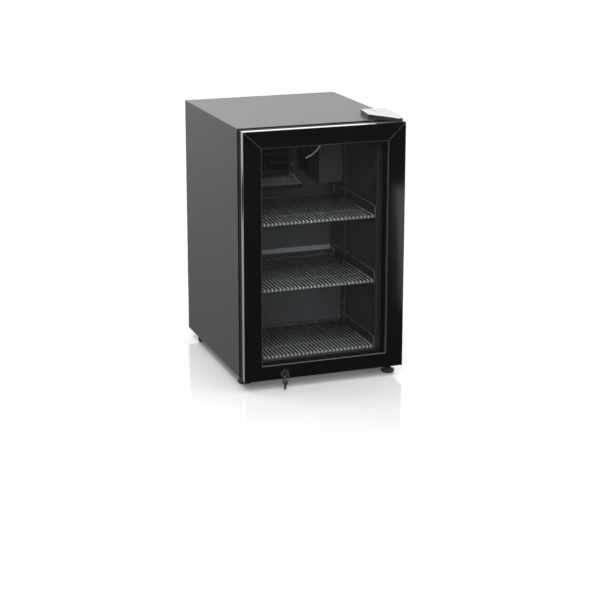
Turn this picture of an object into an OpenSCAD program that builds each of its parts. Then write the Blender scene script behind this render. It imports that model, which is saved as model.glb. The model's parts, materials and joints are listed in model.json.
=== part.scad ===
/* [Cabinet] */
// Overall width of the cabinet and of the door
cab_w = 430; // [400:5:460]
// Depth of the cabinet behind the door
cab_d = 458; // [450:2:480]
// Height of the cabinet body without its feet
cab_h = 643; // [640:1:680]
// Height of the feet
foot_h = 25; // [22:1:30]
// Thickness of the insulated side walls and ceiling
wall_t = 40; // [36:1:44]
// Thickness of the insulated floor
floor_t = 32; // [31:1:34]
// Thickness of the folded sheet metal
sheet_t = 1.2; // [1:0.1:1.6]
// Depth of the cooled space at its upper part
cavity_d = 374; // [370:1:380]
// Depth of the cooled space in front of the compressor step
step_d = 288; // [280:1:292]
// Height of the upright face of the compressor step
step_h = 158; // [150:1:162]
// Rise of the sloped ledge above the step
ledge_rise = 38; // [34:1:46]

/* [Door] */
// Thickness of the door leaf
door_t = 42.5; // [40:0.5:46]
// Gap between the cabinet front and the back of the door
door_gap = 8; // [7:0.5:9]
// Width of the black border at the sides
stile_w = 46; // [42:1:48]
// Height of the black border at the top
rail_w = 43; // [40:1:46]
// Height of the black border at the bottom
sill_w = 37; // [35:1:40]
// Distance from the door's front to the back edge of its bright trim
trim_d = 18; // [17:1:21]
// Depth of the black lip in front of the trim
trim_lip = 2.4; // [2:0.1:3]
// Thickness of the edge trim
trim_t = 1.6; // [1.2:0.1:2]
// Thickness of each pane
pane_t = 4; // [3:0.5:5]
// How far the frame covers the edge of the panes
pane_lap = 10; // [8:1:12]
// Length of the lens-shaped finger grip
grip_len = 150; // [130:5:170]
// Width of the finger grip at its middle
grip_w = 11; // [9:1:12]
// Depth of the finger grip
grip_deep = 15; // [12:1:18]

/* [Shelves] */
// Height of the top shelf above the cabinet bottom
shelf_high = 392; // [380:1:396]
// Height of the middle shelf above the cabinet bottom
shelf_mid = 219; // [216:1:230]
// Number of wires on each shelf deck
deck_wires = 31; // [21:2:35]
// Half thickness of a deck wire
deck_r = 1.4; // [1.2:0.1:1.6]
// Half thickness of a frame wire
frame_r = 2.2; // [2:0.1:2.6]
// Height of the downturned front edge
front_drop = 9; // [8:0.5:11]

/* [Cooling] */
// Number of evaporator fins
fin_count = 21; // [15:2:25]
// Number of runs in the condenser tube
condenser_runs = 11; // [7:2:11]
// Number of blades on the evaporator fan
blade_count = 7; // [5:1:9]

/* [Hidden] */
$fn = 48;

clear = 0.2;
key_reach = 22;
y0 = -(cab_d - door_gap - door_t - key_reach) / 2;
rear_y = y0 + cab_d;
half_w = cab_w / 2;
z0 = foot_h;
top_z = z0 + cab_h;
cav_w = cab_w - 2 * wall_t;
cav_floor = z0 + floor_t;
cav_top = top_z - wall_t;
rear_wall = 41;
back_y = y0 + cavity_d + rear_wall;
step_y = y0 + step_d + 34;
pan_t = 2;

door_front = y0 - door_gap - door_t;
door_back = y0 - door_gap;
door_top = top_z - 1;
door_bottom = z0 + 1.5;
hinge_x = half_w - 12;
hinge_y = y0 - 28;
pin_r = 4;
run_gap = 0.06;
bush_r = 7;
bush_len = 16;
bracket_t = 3;
lock_x = -108;
lock_z = z0 + 16;
lock_r = 9.5;
plug_r = 5.5;
cam_len = 15;
key_bow_r = 8;
key_hole_y = -11;
key_ring_r = 7;
ring_wire_r = 0.9;
ring_drop = 2.2;
grip_z = z0 + 482;
grip_y = door_front + trim_lip + 7;
pane_front = door_front + 4;
pane_back = pane_front + 2 * pane_t + 9;
foot_r = 14;
stem_r = 4;
foot_left_x = -190;
foot_left_y = y0 + 30;
foot_right_x = 190;
foot_right_y = y0 - 14;
pilaster_front_y = y0 + 36;
pilaster_rear_y = y0 + 262;
pilaster_half = 8;
pilaster_t = 5;
slot_pitch = 25;
fan_x = 88;
fan_y = y0 + 328;
fan_z = z0 + 500;
fan_bore = 43;
coil_rows = [462, 486, 510, 534];
coil_cols = [306, 334];
coil_r = 4;
coil_left = -150;
coil_right = 30;
cond_y = rear_y - 24;
comp_x = -30;
comp_y = rear_y - 64;
comp_r = 52;
comp_base = z0 + 12.5;
gland_x = -180;
gland_z = z0 + 40;
knob_x = -165;
knob_z = z0 + 140;
switch_x = -140;
switch_z = z0 + 87;
tray_left = -cav_w / 2 + 15;
tray_right = 60;
tray_slots = 25;
origin = [0, y0, z0];
// Control points of the sensor lead, from the ceiling to the coil
lead_a = [114, 268, 602];
lead_b = [118, 268, 540];
lead_c = [98, 270, 512];
lead_d = [64, 274, 500];
// Control points of the discharge pipe, from the compressor to the filter drier
pipe_a = [44, 366, 34];
pipe_b = [100, 338, 34];
pipe_c = [150, 396, 10];
pipe_d = [150, 398, 59];
// Centre of the split ring that hangs in the key's hole
ring_centre = [lock_x, door_front - 4 + key_hole_y, lock_z - ring_drop - key_ring_r];

function unit(v) = v / norm(v);
function heading(path, i) = unit(path[min(i + 1, len(path) - 1)] - path[max(i - 1, 0)]);
function ring(path, i, r, n, ref) =
    let (t = heading(path, i), u = unit(cross(t, ref)), w = cross(t, u))
    [for (k = [0 : n - 1]) path[i] + r * (cos(360 * k / n) * u + sin(360 * k / n) * w)];
function bezier(a, b, c, d, t) =
    pow(1 - t, 3) * a + 3 * t * pow(1 - t, 2) * b + 3 * t * t * (1 - t) * c + t * t * t * d;
function half_turn(a, b, out, steps) =
    let (mid = (a + b) / 2, arm = (a - b) / 2)
    [for (k = [0 : steps]) mid + arm * cos(180 * k / steps) + out * norm(arm) * sin(180 * k / steps)];

// A round tube swept along a list of points
module sweep(path, r, n, ref) {
    count = len(path);
    points = [for (i = [0 : count - 1]) each ring(path, i, r, n, ref)];
    sides = [for (i = [0 : count - 2]) for (k = [0 : n - 1])
        [i * n + k, i * n + (k + 1) % n, (i + 1) * n + (k + 1) % n, (i + 1) * n + k]];
    first = [for (k = [0 : n - 1]) n - 1 - k];
    last = [for (k = [0 : n - 1]) (count - 1) * n + k];
    polyhedron(points = points, faces = concat(sides, [first, last]));
}

// A box given by its lowest and highest corners
module block(low, high) {
    translate(low) cube(high - low);
}

// A shape drawn in the side view (depth, height) and drawn out across the cabinet
module across(x_low, x_high) {
    translate([x_low, 0, 0])
        rotate([90, 0, 90])
        linear_extrude(x_high - x_low)
        children();
}

// A shape drawn in the front view (width, height) and drawn out from front to back
module back_from(y_front, depth) {
    translate([0, y_front + depth, 0])
        rotate([90, 0, 0])
        linear_extrude(depth)
        children();
}

// A cylinder that runs from front to back
module rod_y(x, y_low, y_high, z, r) {
    translate([x, y_low, z])
        rotate([-90, 0, 0])
        cylinder(r = r, h = y_high - y_low);
}

// A cylinder that runs across the cabinet
module rod_x(x_low, x_high, y, z, r) {
    translate([x_low, y, z])
        rotate([0, 90, 0])
        cylinder(r = r, h = x_high - x_low);
}

// A cylinder that stands upright
module rod_z(x, y, z_low, z_high, r) {
    translate([x, y, z_low])
        cylinder(r = r, h = z_high - z_low);
}

// The side view of the cooled space, grown outward by a margin
module cavity_outline(grow, front) {
    polygon([
        [front, cav_floor - grow],
        [y0 + step_d + grow, cav_floor - grow],
        [y0 + step_d + grow, z0 + floor_t + step_h - grow * 0.6],
        [y0 + cavity_d + grow, z0 + floor_t + step_h + ledge_rise - grow * 0.6],
        [y0 + cavity_d + grow, cav_top + grow],
        [front, cav_top + grow]
    ]);
}

// The side view of the foam block, with its cut-out for the compressor
module foam_outline(shrink) {
    polygon([
        [y0 + 2, z0 + pan_t + clear],
        [step_y - shrink, z0 + pan_t + clear],
        [step_y - shrink, z0 + step_h + shrink * 0.6],
        [back_y - shrink, z0 + step_h + ledge_rise + shrink * 0.6],
        [back_y - shrink, top_z - sheet_t - clear],
        [y0 + 2, top_z - sheet_t - clear]
    ]);
}

module outer_shell() {
    color("dimgray")
    difference() {
        block([-half_w, y0, z0 + pan_t], [half_w, rear_y, top_z]);
        block([-half_w + sheet_t, y0 - 1, z0 - 1], [half_w - sheet_t, rear_y + 1, top_z - sheet_t]);
    }
}

module base_pan() {
    color("dimgray")
    difference() {
        block([-half_w, y0, z0], [half_w, rear_y, z0 + pan_t]);
        rod_z(foot_left_x, foot_left_y, z0 - 1, z0 + pan_t + 1, stem_r + 0.5);
        for (i = [0 : 5])
            block([-75 + i * 26, comp_y - 30, z0 - 1], [-69 + i * 26, comp_y + 30, z0 + pan_t + 1]);
    }
}

module rear_panel() {
    color("silver")
    across(-half_w + sheet_t + clear, half_w - sheet_t - clear)
    polygon([
        [step_y, z0 + pan_t + clear],
        [step_y + sheet_t, z0 + pan_t + clear],
        [step_y + sheet_t, z0 + step_h - sheet_t * 0.5],
        [back_y + sheet_t, z0 + step_h + ledge_rise - sheet_t * 0.5],
        [back_y + sheet_t, top_z - sheet_t - clear],
        [back_y, top_z - sheet_t - clear],
        [back_y, z0 + step_h + ledge_rise],
        [step_y, z0 + step_h]
    ]);
}

module insulation() {
    color("khaki")
    difference() {
        across(-half_w + sheet_t + clear, half_w - sheet_t - clear) foam_outline(clear);
        across(-cav_w / 2 - sheet_t - clear, cav_w / 2 + sheet_t + clear)
            cavity_outline(sheet_t + clear, y0 - 1);
        rod_z(foot_left_x, foot_left_y, z0, z0 + 17, 7 + clear);
    }
}

module inner_liner() {
    color("gray")
    difference() {
        across(-cav_w / 2 - sheet_t, cav_w / 2 + sheet_t) cavity_outline(sheet_t, y0 + 2);
        across(-cav_w / 2, cav_w / 2) cavity_outline(0, y0 + 1);
    }
}

module front_frame() {
    color("black")
    difference() {
        block([-half_w + sheet_t + clear, y0, z0 + pan_t + clear],
              [half_w - sheet_t - clear, y0 + 1.8, top_z - sheet_t - clear]);
        block([-cav_w / 2, y0 - 1, cav_floor], [cav_w / 2, y0 + 3, cav_top]);
    }
}

// A hat-shaped upright with a row of slots, standing on the side wall
module pilaster(side, y_mid) {
    low = cav_floor + 4;
    high = cav_top - 30;
    slots = floor((high - low - 20) / slot_pitch);
    wall = cav_w / 2;
    mirror([side > 0 ? 0 : 1, 0, 0])
    difference() {
        block([wall - pilaster_t, y_mid - pilaster_half, low], [wall, y_mid + pilaster_half, high]);
        block([wall - pilaster_t + sheet_t, y_mid - pilaster_half + sheet_t, low - 1],
              [wall + 1, y_mid + pilaster_half - sheet_t, high + 1]);
        for (i = [0 : slots])
            block([wall - pilaster_t / 2 - 5, y_mid - 2, cav_floor + 14 + i * slot_pitch],
                  [wall - pilaster_t / 2 + 5, y_mid + 2, cav_floor + 24 + i * slot_pitch]);
    }
}

module front_pilasters() {
    color("silver") for (side = [-1, 1]) pilaster(side, pilaster_front_y);
}

module rear_pilasters() {
    color("silver") for (side = [-1, 1]) pilaster(side, pilaster_rear_y);
}

module pilaster_screws() {
    color("silver")
    for (side = [-1, 1])
        for (y = [pilaster_front_y, pilaster_rear_y])
            for (z = [cav_floor + 57, z0 + 524])
                translate([side * (cav_w / 2 - pilaster_t - clear / 4), y, z])
                    rotate([0, -90 * side, 0])
                    cylinder(r = 3.2, h = 1.8);
}

// Height of the underside of a shelf's side wires above its clips
function shelf_seat(deck) = z0 + deck - 2 * deck_r - 2 * frame_r + 0.6;

module shelf_clips() {
    color("silver")
    for (side = [-1, 1])
        for (y = [pilaster_front_y, pilaster_rear_y])
            for (deck = [shelf_high, shelf_mid])
                translate([side * (cav_w / 2 - pilaster_t - clear / 2), y, shelf_seat(deck) - 0.3])
                mirror([side > 0 ? 0 : 1, 0, 0]) {
                    block([-8, -5, -3], [0, 5, 0]);
                    block([-1.5, -5, -12], [0, 5, -3]);
                }
}

// One deck wire with its turned-down front end
module deck_wire(x, y_front, y_back, deck, drop) {
    translate([x, y_front + deck_r, deck - deck_r])
        rotate([-90, 0, 0])
        rotate(30)
        cylinder(r = deck_r, h = y_back - y_front - deck_r, $fn = 6);
    translate([x, y_front + deck_r, deck - drop])
        rotate(30)
        cylinder(r = deck_r, h = drop - 0.5, $fn = 6);
}

// A straight six-sided frame wire across the shelf
module cross_wire(half, y, z, r) {
    translate([-half, y, z])
        rotate([0, 90, 0])
        cylinder(r = r, h = 2 * half, $fn = 6);
}

// A straight six-sided frame wire along the side of the shelf
module side_wire(x, y_front, y_back, z, r) {
    translate([x, y_front, z])
        rotate([-90, 0, 0])
        cylinder(r = r, h = y_back - y_front, $fn = 6);
}

// A complete wire shelf with side guards and upright ends
module wire_shelf(deck, y_front, y_back) {
    half = cav_w / 2 - 9.5;
    pitch = 2 * (half - 8) / (deck_wires - 1);
    mid = (deck_wires - 1) / 2;
    under = deck - 2 * deck_r - frame_r + 0.3;
    guard = deck + 22;
    union() {
        for (i = [-mid : mid])
            deck_wire(i * pitch, y_front, y_back, deck, front_drop);
        cross_wire(half, y_front + 4.6, under, frame_r);
        cross_wire(half, y_front + 3.6, deck - front_drop + frame_r, frame_r);
        cross_wire(half, y_front + 82, under, frame_r);
        cross_wire(half, y_back - 3, under, frame_r);
        for (side = [-1, 1]) {
            side_wire(side * half, y_front + 2.4, y_back - 1, under, frame_r);
            side_wire(side * half, y_front + 3, y_back - 1, guard, 1.6);
            for (y = [y_front + 4.6, y_back - 3])
                translate([side * half, y, deck - front_drop + 0.6])
                    cylinder(r = 1.6, h = guard - deck + front_drop, $fn = 6);
        }
    }
}

module shelf_top() { color("white") wire_shelf(z0 + shelf_high, y0 + 24, y0 + 324); }
module shelf_middle() { color("white") wire_shelf(z0 + shelf_mid, y0 + 24, y0 + 324); }
module shelf_bottom() {
    color("white") wire_shelf(cav_floor + front_drop, y0 + 24, y0 + step_d - 8);
}

// The points of the evaporator's tube, run by run and row by row
function coil_run(i) =
    let (row = floor(i / 2), col = (i % 4 == 0 || i % 4 == 3) ? 0 : 1, back = i % 2)
    [for (e = [0, 1]) [(e == back) ? coil_left : coil_right, y0 + coil_cols[col], z0 + coil_rows[row]]];
function coil_turn(i) =
    half_turn(coil_run(i)[1], coil_run(i + 1)[0], [i % 2 == 0 ? 1 : -1, 0, 0], 6);
function coil_path() =
    [for (i = [0 : 7]) each
        (i < 7) ? concat([coil_run(i)[0]], coil_turn(i)) : [coil_run(i)[0] + [-0.5, 0, 0], coil_run(i)[1]]];

module evaporator_tube() {
    color("silver") sweep(coil_path(), coil_r, 8, [0.01, 0.63, 0.77]);
}

// A plate across the coil, drilled for the tube runs
module coil_plate(x, t, z_low, z_high) {
    difference() {
        block([x, y0 + 292, z_low], [x + t, y0 + 348, z_high]);
        for (row = coil_rows)
            for (col = coil_cols)
                rod_x(x - 1, x + t + 1, y0 + col, z0 + row, coil_r + 0.3);
    }
}

module evaporator_fins() {
    color("lightgray")
    for (i = [0 : fin_count - 1])
        coil_plate(-142 + i * 160 / (fin_count - 1), 0.6, z0 + 450, z0 + 546);
}

module evaporator_end_plates() {
    color("silver") {
        coil_plate(-148, 1.5, z0 + 448, cav_top - clear);
        coil_plate(24, 1.5, z0 + 448, cav_top - clear);
    }
}

// The side view of the drip tray, which slopes down towards the front
module tray_outline(inset) {
    polygon([
        [y0 + 284 + inset, z0 + 416 + inset], [y0 + 366 - inset, z0 + 428 + inset],
        [y0 + 366 - inset, z0 + 440 - inset], [y0 + 284 + inset, z0 + 428 - inset]
    ]);
}

// A closed tray with a row of drain slots through its sloping top
module drip_tray() {
    color("lightgray")
    difference() {
        across(tray_left, tray_right) tray_outline(0);
        across(tray_left + 1.5, tray_right - 1.5) tray_outline(1.5);
        for (i = [0 : tray_slots])
            across(tray_left + 7 + i * 8, tray_left + 11 + i * 8)
            polygon([
                [y0 + 290, z0 + 424], [y0 + 360, z0 + 434],
                [y0 + 360, z0 + 444], [y0 + 290, z0 + 434]
            ]);
    }
}

module fan_frame() {
    color("black")
    difference() {
        union() {
            difference() {
                block([fan_x - 13, fan_y - 46, fan_z - 46], [fan_x + 12, fan_y + 46, fan_z + 46]);
                rod_x(fan_x - 14, fan_x + 13, fan_y, fan_z, fan_bore);
            }
            rod_x(fan_x + 6, fan_x + 12, fan_y, fan_z, 15);
            for (a = [0 : 90 : 270])
                translate([0, fan_y, fan_z])
                    rotate([a + 45, 0, 0])
                    block([fan_x + 8, -3, 12], [fan_x + 12, 3, fan_bore + 2]);
        }
        rod_x(fan_x - 14, fan_x + 10, fan_y, fan_z, 2 + run_gap);
    }
}

module fan_blades() {
    color("dimgray")
    union() {
        rod_x(fan_x - 11, fan_x + 5, fan_y, fan_z, 15);
        rod_x(fan_x + 4, fan_x + 9.5, fan_y, fan_z, 2);
        for (i = [0 : blade_count - 1])
            translate([fan_x - 3, fan_y, fan_z])
                rotate([i * 360 / blade_count, 0, 0])
                rotate([0, 0, 35])
                block([-0.8, -9, 12], [0.8, 9, fan_bore - 4]);
    }
}

module duct_cover() {
    color("gray")
    difference() {
        block([104, y0 + 276, z0 + 428], [cav_w / 2 - 1, y0 + cavity_d - 1, cav_top - 1]);
        block([105.2, y0 + 277.2, z0 + 427], [cav_w / 2, y0 + cavity_d, cav_top + 1]);
        rod_x(102, 107, fan_y, fan_z, fan_bore - 1);
    }
}

module sensor_lead() {
    path = [for (k = [0 : 16]) bezier(lead_a, lead_b, lead_c, lead_d, k / 16) + origin];
    color("white") sweep(path, 2, 8, [0, 1, 0]);
}

module light_housing() {
    color("white")
    difference() {
        block([-130, y0 + 8, cav_top - 10], [130, y0 + 26, cav_top - clear]);
        block([-128, y0 + 10, cav_top - 11], [128, y0 + 24, cav_top - 2]);
    }
}

module light_lens() {
    color("white") block([-127.5, y0 + 10.5, cav_top - 10], [127.5, y0 + 23.5, cav_top - 8]);
}

module compressor() {
    color("black")
    translate([comp_x, comp_y, comp_base])
    rotate_extrude($fn = 64)
    polygon(concat(
        [[0, 3], [comp_r - 16, 3]],
        [for (a = [-80 : 10 : 0]) [comp_r - 16 + 16 * cos(a), 19 + 16 * sin(a)]],
        [[comp_r, 52], [comp_r + 2, 53], [comp_r + 2, 57], [comp_r, 58]],
        [for (a = [0 : 10 : 90]) [comp_r - 34 + 34 * cos(a), 82 + 34 * sin(a)]],
        [[0, 116]]
    ));
}

module compressor_plate() {
    color("black")
    difference() {
        block([comp_x - 75, comp_y - 42, comp_base], [comp_x + 75, comp_y + 42, comp_base + 2.8]);
        for (sx = [-1, 1])
            for (sy = [-1, 1])
                rod_z(comp_x + sx * 66, comp_y + sy * 33, comp_base - 1, comp_base + 4, 5);
    }
}

module compressor_grommets() {
    color("black")
    for (sx = [-1, 1])
        for (sy = [-1, 1])
            difference() {
                union() {
                    rod_z(comp_x + sx * 66, comp_y + sy * 33, z0 + pan_t, comp_base, 9);
                    rod_z(comp_x + sx * 66, comp_y + sy * 33, comp_base - 1, comp_base + 6, 4.8);
                }
                rod_z(comp_x + sx * 66, comp_y + sy * 33, z0, comp_base + 7, 3);
            }
}

module terminal_cover() {
    color("dimgray") block([comp_x + comp_r + 2.2, comp_y - 24, comp_base + 26],
                           [comp_x + comp_r + 30, comp_y + 24, comp_base + 78]);
}

// The points of the condenser's serpentine tube, bottom run first
function cond_z(i) = z0 + 232 + i * 38;
function cond_end(i, side) = [side * 172, cond_y, cond_z(i)];
function cond_side(i) = i % 2 == 0 ? 1 : -1;
function cond_turn(i) =
    half_turn(cond_end(i, cond_side(i)), cond_end(i + 1, cond_side(i)), [cond_side(i), 0, 0], 5);
function cond_path() =
    [for (i = [0 : condenser_runs - 1]) each
        (i < condenser_runs - 1)
        ? concat([cond_end(i, -cond_side(i))], cond_turn(i))
        : [cond_end(i, -cond_side(i)) + [cond_side(i) * 0.5, 0, 0], cond_end(i, cond_side(i))]];

module condenser_tube() {
    color("black") sweep(cond_path(), 2.4, 8, [0, 1, 0]);
}

module condenser_wires() {
    color("black")
    for (i = [-10 : 10])
        for (face = [-1, 1])
            translate([i * 16, cond_y + face * 3.25, cond_z(0) - 8])
                cylinder(r = 0.8, h = cond_z(condenser_runs - 1) - cond_z(0) + 16, $fn = 6);
}

module condenser_brackets() {
    color("black")
    for (side = [-1, 1])
        for (z = [z0 + 300, z0 + 550])
            difference() {
                block([side * 178 - 7, back_y + sheet_t, z - 12], [side * 178 + 7, cond_y - 2.6, z + 12]);
                block([side * 178 - 4, back_y + sheet_t + 2, z - 13],
                      [side * 178 + 4, cond_y - 4.6, z + 13]);
            }
}

module filter_drier() {
    color("peru")
    translate([150, rear_y - 60, z0 + 60])
    rotate_extrude()
    polygon([[0, 0], [3, 0], [3, 8], [9, 20], [9, 90], [3, 102], [3, 110], [0, 110]]);
}

module discharge_pipe() {
    path = [for (k = [0 : 20]) bezier(pipe_a, pipe_b, pipe_c, pipe_d, k / 20) + origin];
    color("peru") sweep(path, 2.4, 8, [0.5, -1, 0.2]);
}

module rear_grille() {
    color("dimgray")
    difference() {
        block([-half_w + 4, rear_y - 2, z0 + pan_t + 1], [half_w - 4, rear_y - 0.5, z0 + 196]);
        for (i = [0 : 23])
            for (row = [0 : 1])
                block([-96 + i * 12, rear_y - 3, z0 + 24 + row * 76],
                      [-90 + i * 12, rear_y + 1, z0 + 88 + row * 76]);
        rod_y(gland_x, rear_y - 3, rear_y + 1, gland_z, 8);
        rod_y(knob_x, rear_y - 3, rear_y + 1, knob_z, 5);
        block([switch_x - 10, rear_y - 3, switch_z - 13], [switch_x + 10, rear_y + 1, switch_z + 13]);
        for (side = [-1, 1])
            for (z = [z0 + 14, z0 + 184])
                rod_y(side * 200, rear_y - 3, rear_y + 1, z, 2.2);
    }
}

module cord_gland() {
    color("black")
    difference() {
        union() {
            rod_y(gland_x, rear_y - 8, rear_y, gland_z, 7.8);
            rod_y(gland_x, rear_y - 6, rear_y - 2.1, gland_z, 10);
        }
        rod_y(gland_x, rear_y - 9, rear_y + 1, gland_z, 4);
    }
}

module thermostat_knob() {
    color("black")
    union() {
        rod_y(knob_x, rear_y - 12, rear_y - 0.2, knob_z, 4.8);
        rod_y(knob_x, rear_y - 11.8, rear_y - 2.4, knob_z, 12);
    }
}

module light_switch() {
    color("black")
    difference() {
        union() {
            block([switch_x - 9.4, rear_y - 10, switch_z - 12.4],
                  [switch_x + 9.4, rear_y - 0.2, switch_z + 12.4]);
            rod_x(switch_x - 11.5, switch_x + 11.5, rear_y - 4, switch_z, 1.2);
        }
        block([switch_x - 10, rear_y - 11, switch_z], [switch_x + 10, rear_y - 9.6, switch_z + 13]);
    }
}

module foot_insert() {
    color("silver")
    difference() {
        rod_z(foot_left_x, foot_left_y, z0 + pan_t, z0 + 16, 7);
        rod_z(foot_left_x, foot_left_y, z0, z0 + 18, stem_r + run_gap);
    }
}

module rear_feet() {
    color("black")
    for (side = [-1, 1])
        translate([side * 190, y0 + 400, 0])
        rotate_extrude()
        polygon([[0, 0], [12, 0], [14, 2], [15, 20], [15, z0], [0, z0]]);
}

// A levelling foot with its screwed stem
module levelling_foot(x, y, stem_top) {
    translate([x, y, 0])
    rotate_extrude()
    polygon([
        [0, 0], [foot_r - 1, 0], [foot_r, 1.5], [foot_r, 8], [foot_r - 2, 10], [8, 11],
        [8, 15], [stem_r, 15], [stem_r, stem_top], [0, stem_top]
    ]);
}

module foot_left() { color("black") levelling_foot(foot_left_x, foot_left_y, z0 + 14); }
module foot_right() { color("black") levelling_foot(foot_right_x, foot_right_y, z0 - 0.1); }

module top_hinge_bracket() {
    color("silver")
    difference() {
        union() {
            block([150, y0 + 12, top_z], [hinge_x + 9, y0 + 76, top_z + bracket_t]);
            block([hinge_x - 9, hinge_y, top_z], [hinge_x + 9, y0 + 13, top_z + bracket_t]);
            rod_z(hinge_x, hinge_y, top_z, top_z + bracket_t, 9);
            rod_z(hinge_x, hinge_y, door_top - bush_len + 2, top_z + 4.5, pin_r);
        }
        for (x = [162, 180])
            for (y = [y0 + 28, y0 + 62])
                rod_z(x, y, top_z - 1, top_z + 4, 2.2);
    }
}

module bottom_hinge_bracket() {
    color("silver")
    difference() {
        union() {
            block([172, y0 - 14, z0 - bracket_t], [hinge_x + 9, y0 + 70, z0]);
            block([176, hinge_y, z0 - bracket_t], [hinge_x + 9, y0 - 13, z0]);
            rod_z(hinge_x, hinge_y, z0 - bracket_t, z0, 9);
            rod_z(hinge_x, hinge_y, z0 - bracket_t, door_bottom + bush_len - 2, pin_r);
        }
        rod_z(foot_right_x, foot_right_y, z0 - 5, z0 + 1, stem_r + run_gap);
        for (y = [y0 + 20, y0 + 54])
            rod_z(192, y, z0 - 5, z0 + 1, 2.2);
    }
}

module cabinet_screws() {
    color("silver") {
        for (side = [-1, 1])
            for (z = [z0 + 14, z0 + 184])
                union() {
                    rod_y(side * 200, rear_y - 9, rear_y, z, 2);
                    rod_y(side * 200, rear_y - 0.5, rear_y, z, 3.8);
                }
        for (x = [162, 180])
            for (y = [y0 + 28, y0 + 62])
                rod_z(x, y, top_z + bracket_t, top_z + bracket_t + 2.4, 3.8);
        for (y = [y0 + 20, y0 + 54])
            rod_z(192, y, z0 - bracket_t - 2.4, z0 - bracket_t, 3.8);
    }
}

// The plan of the hinge cover, drawn in by an inset, with a round nose at the pivot
module cover_plan(inset) {
    nose_r = 11.6 - inset;
    polygon(concat(
        [[146 + inset, y0 + 84 - inset], [214 - inset, y0 + 84 - inset]],
        [for (a = [0 : -10 : -160]) [hinge_x + nose_r * cos(a), hinge_y + nose_r * sin(a)]],
        [[137 + 1.3 * inset, y0 + 10 + 0.6 * inset]]
    ));
}

// The hinge cover's outer or inner form, whose top falls away towards the pivot
module cover_form(inset, base, height) {
    difference() {
        translate([0, 0, top_z + base]) linear_extrude(height - base) cover_plan(inset);
        translate([0, y0 + 14, top_z + height])
            rotate([7, 0, 0])
            block([120, -70, 0], [220, 0, 20]);
    }
}

module hinge_cover() {
    color("dimgray")
    difference() {
        cover_form(0, 0, 14);
        cover_form(2, -1, 12);
        rod_z(170, y0 + 47, top_z + 10, top_z + 15, 3);
    }
}

// A hooked plate that the cam turns down behind
module lock_keeper() {
    color("silver")
    difference() {
        block([lock_x - 22, y0 - 7.2, z0 + 3], [lock_x + 9, y0, z0 + 10]);
        block([lock_x - 6, y0 - 5.6, z0 + 2], [lock_x + 10, y0 + 1, z0 + 12]);
        block([lock_x - 23, y0 - 8, z0 + 2], [lock_x - 7.6, y0 - 1.6, z0 + 12]);
    }
}

// A frame member's outline, as seen from the front, with mitred ends
module mitred(side, inset) {
    w = half_w - inset;
    low = door_bottom + inset;
    high = door_top - inset;
    iw = half_w - stile_w;
    il = door_bottom + sill_w;
    ih = door_top - rail_w;
    if (side == "top") polygon([[-w, high], [-iw, ih], [iw, ih], [w, high]]);
    if (side == "bottom") polygon([[-w, low], [-iw, il], [iw, il], [w, low]]);
    if (side == "left") polygon([[-w, low], [-iw, il], [-iw, ih], [-w, high]]);
    if (side == "right") polygon([[w, low], [iw, il], [iw, ih], [w, high]]);
}

// A mitred member with its front lip and its rebate for the glass
module frame_member(side) {
    difference() {
        union() {
            back_from(door_front, trim_lip) mitred(side, 0);
            back_from(door_front + trim_lip, trim_d - trim_lip) mitred(side, trim_t + 0.1);
        }
        block([-half_w + stile_w - pane_lap, pane_front - 0.1, door_bottom + sill_w - pane_lap],
              [half_w - stile_w + pane_lap, door_back, door_top - rail_w + pane_lap]);
    }
}

// A lens with the length and width given
module lens(len_z, width) {
    r = (len_z * len_z + width * width) / (4 * width);
    intersection() {
        translate([r - width / 2, 0]) circle(r = r, $fn = 256);
        translate([width / 2 - r, 0]) circle(r = r, $fn = 256);
    }
}

// A prism with the outline of the finger grip, running in from the left edge
module grip_prism(x_low, x_high, margin) {
    translate([0, grip_y, grip_z]) across(x_low, x_high) lens(grip_len + 10 * margin, grip_w + 2 * margin);
}

module top_rail() {
    color("black")
    difference() {
        frame_member("top");
        rod_z(hinge_x, hinge_y, door_top - bush_len - 2, door_top + 1, bush_r);
    }
}

module bottom_rail() {
    color("black")
    difference() {
        frame_member("bottom");
        rod_z(hinge_x, hinge_y, door_bottom - 1, door_bottom + bush_len + 2, bush_r);
        rod_y(lock_x, door_front - 1, door_back, lock_z, lock_r);
    }
}

module left_stile() {
    color("black")
    difference() {
        frame_member("left");
        grip_prism(-half_w - 1, -half_w + grip_deep + 1, 0.4);
    }
}

module right_stile() {
    color("black")
    difference() {
        frame_member("right");
        rod_z(hinge_x, hinge_y, door_top - bush_len - 2, door_top + 1, bush_r);
        rod_z(hinge_x, hinge_y, door_bottom - 1, door_bottom + bush_len + 2, bush_r);
    }
}

module edge_trim() {
    color("silver")
    difference() {
        block([-half_w, door_front + trim_lip + 0.1, door_bottom], [half_w, door_front + trim_d, door_top]);
        block([-half_w + trim_t, door_front - 1, door_bottom + trim_t],
              [half_w - trim_t, door_back, door_top - trim_t]);
        grip_prism(-half_w - 1, -half_w + 5, 0.4);
        rod_z(hinge_x, hinge_y, door_bottom - 1, door_top + 1, bush_r);
    }
}

module inner_door_frame() {
    color("black")
    difference() {
        block([-half_w + 1, door_front + trim_d + 0.1, door_bottom + 1],
              [half_w - 1, door_back, door_top - 1]);
        block([-half_w + stile_w - pane_lap, door_front, door_bottom + sill_w - pane_lap],
              [half_w - stile_w + pane_lap, pane_back + 0.1, door_top - rail_w + pane_lap]);
        block([-half_w + stile_w, door_front, door_bottom + sill_w],
              [half_w - stile_w, door_back + 1, door_top - rail_w]);
        rod_y(lock_x, door_front, door_back + 1, lock_z, lock_r);
        rod_z(hinge_x, hinge_y, door_top - bush_len - 2, door_top + 1, bush_r);
        rod_z(hinge_x, hinge_y, door_bottom - 1, door_bottom + bush_len + 2, bush_r);
    }
}

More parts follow.
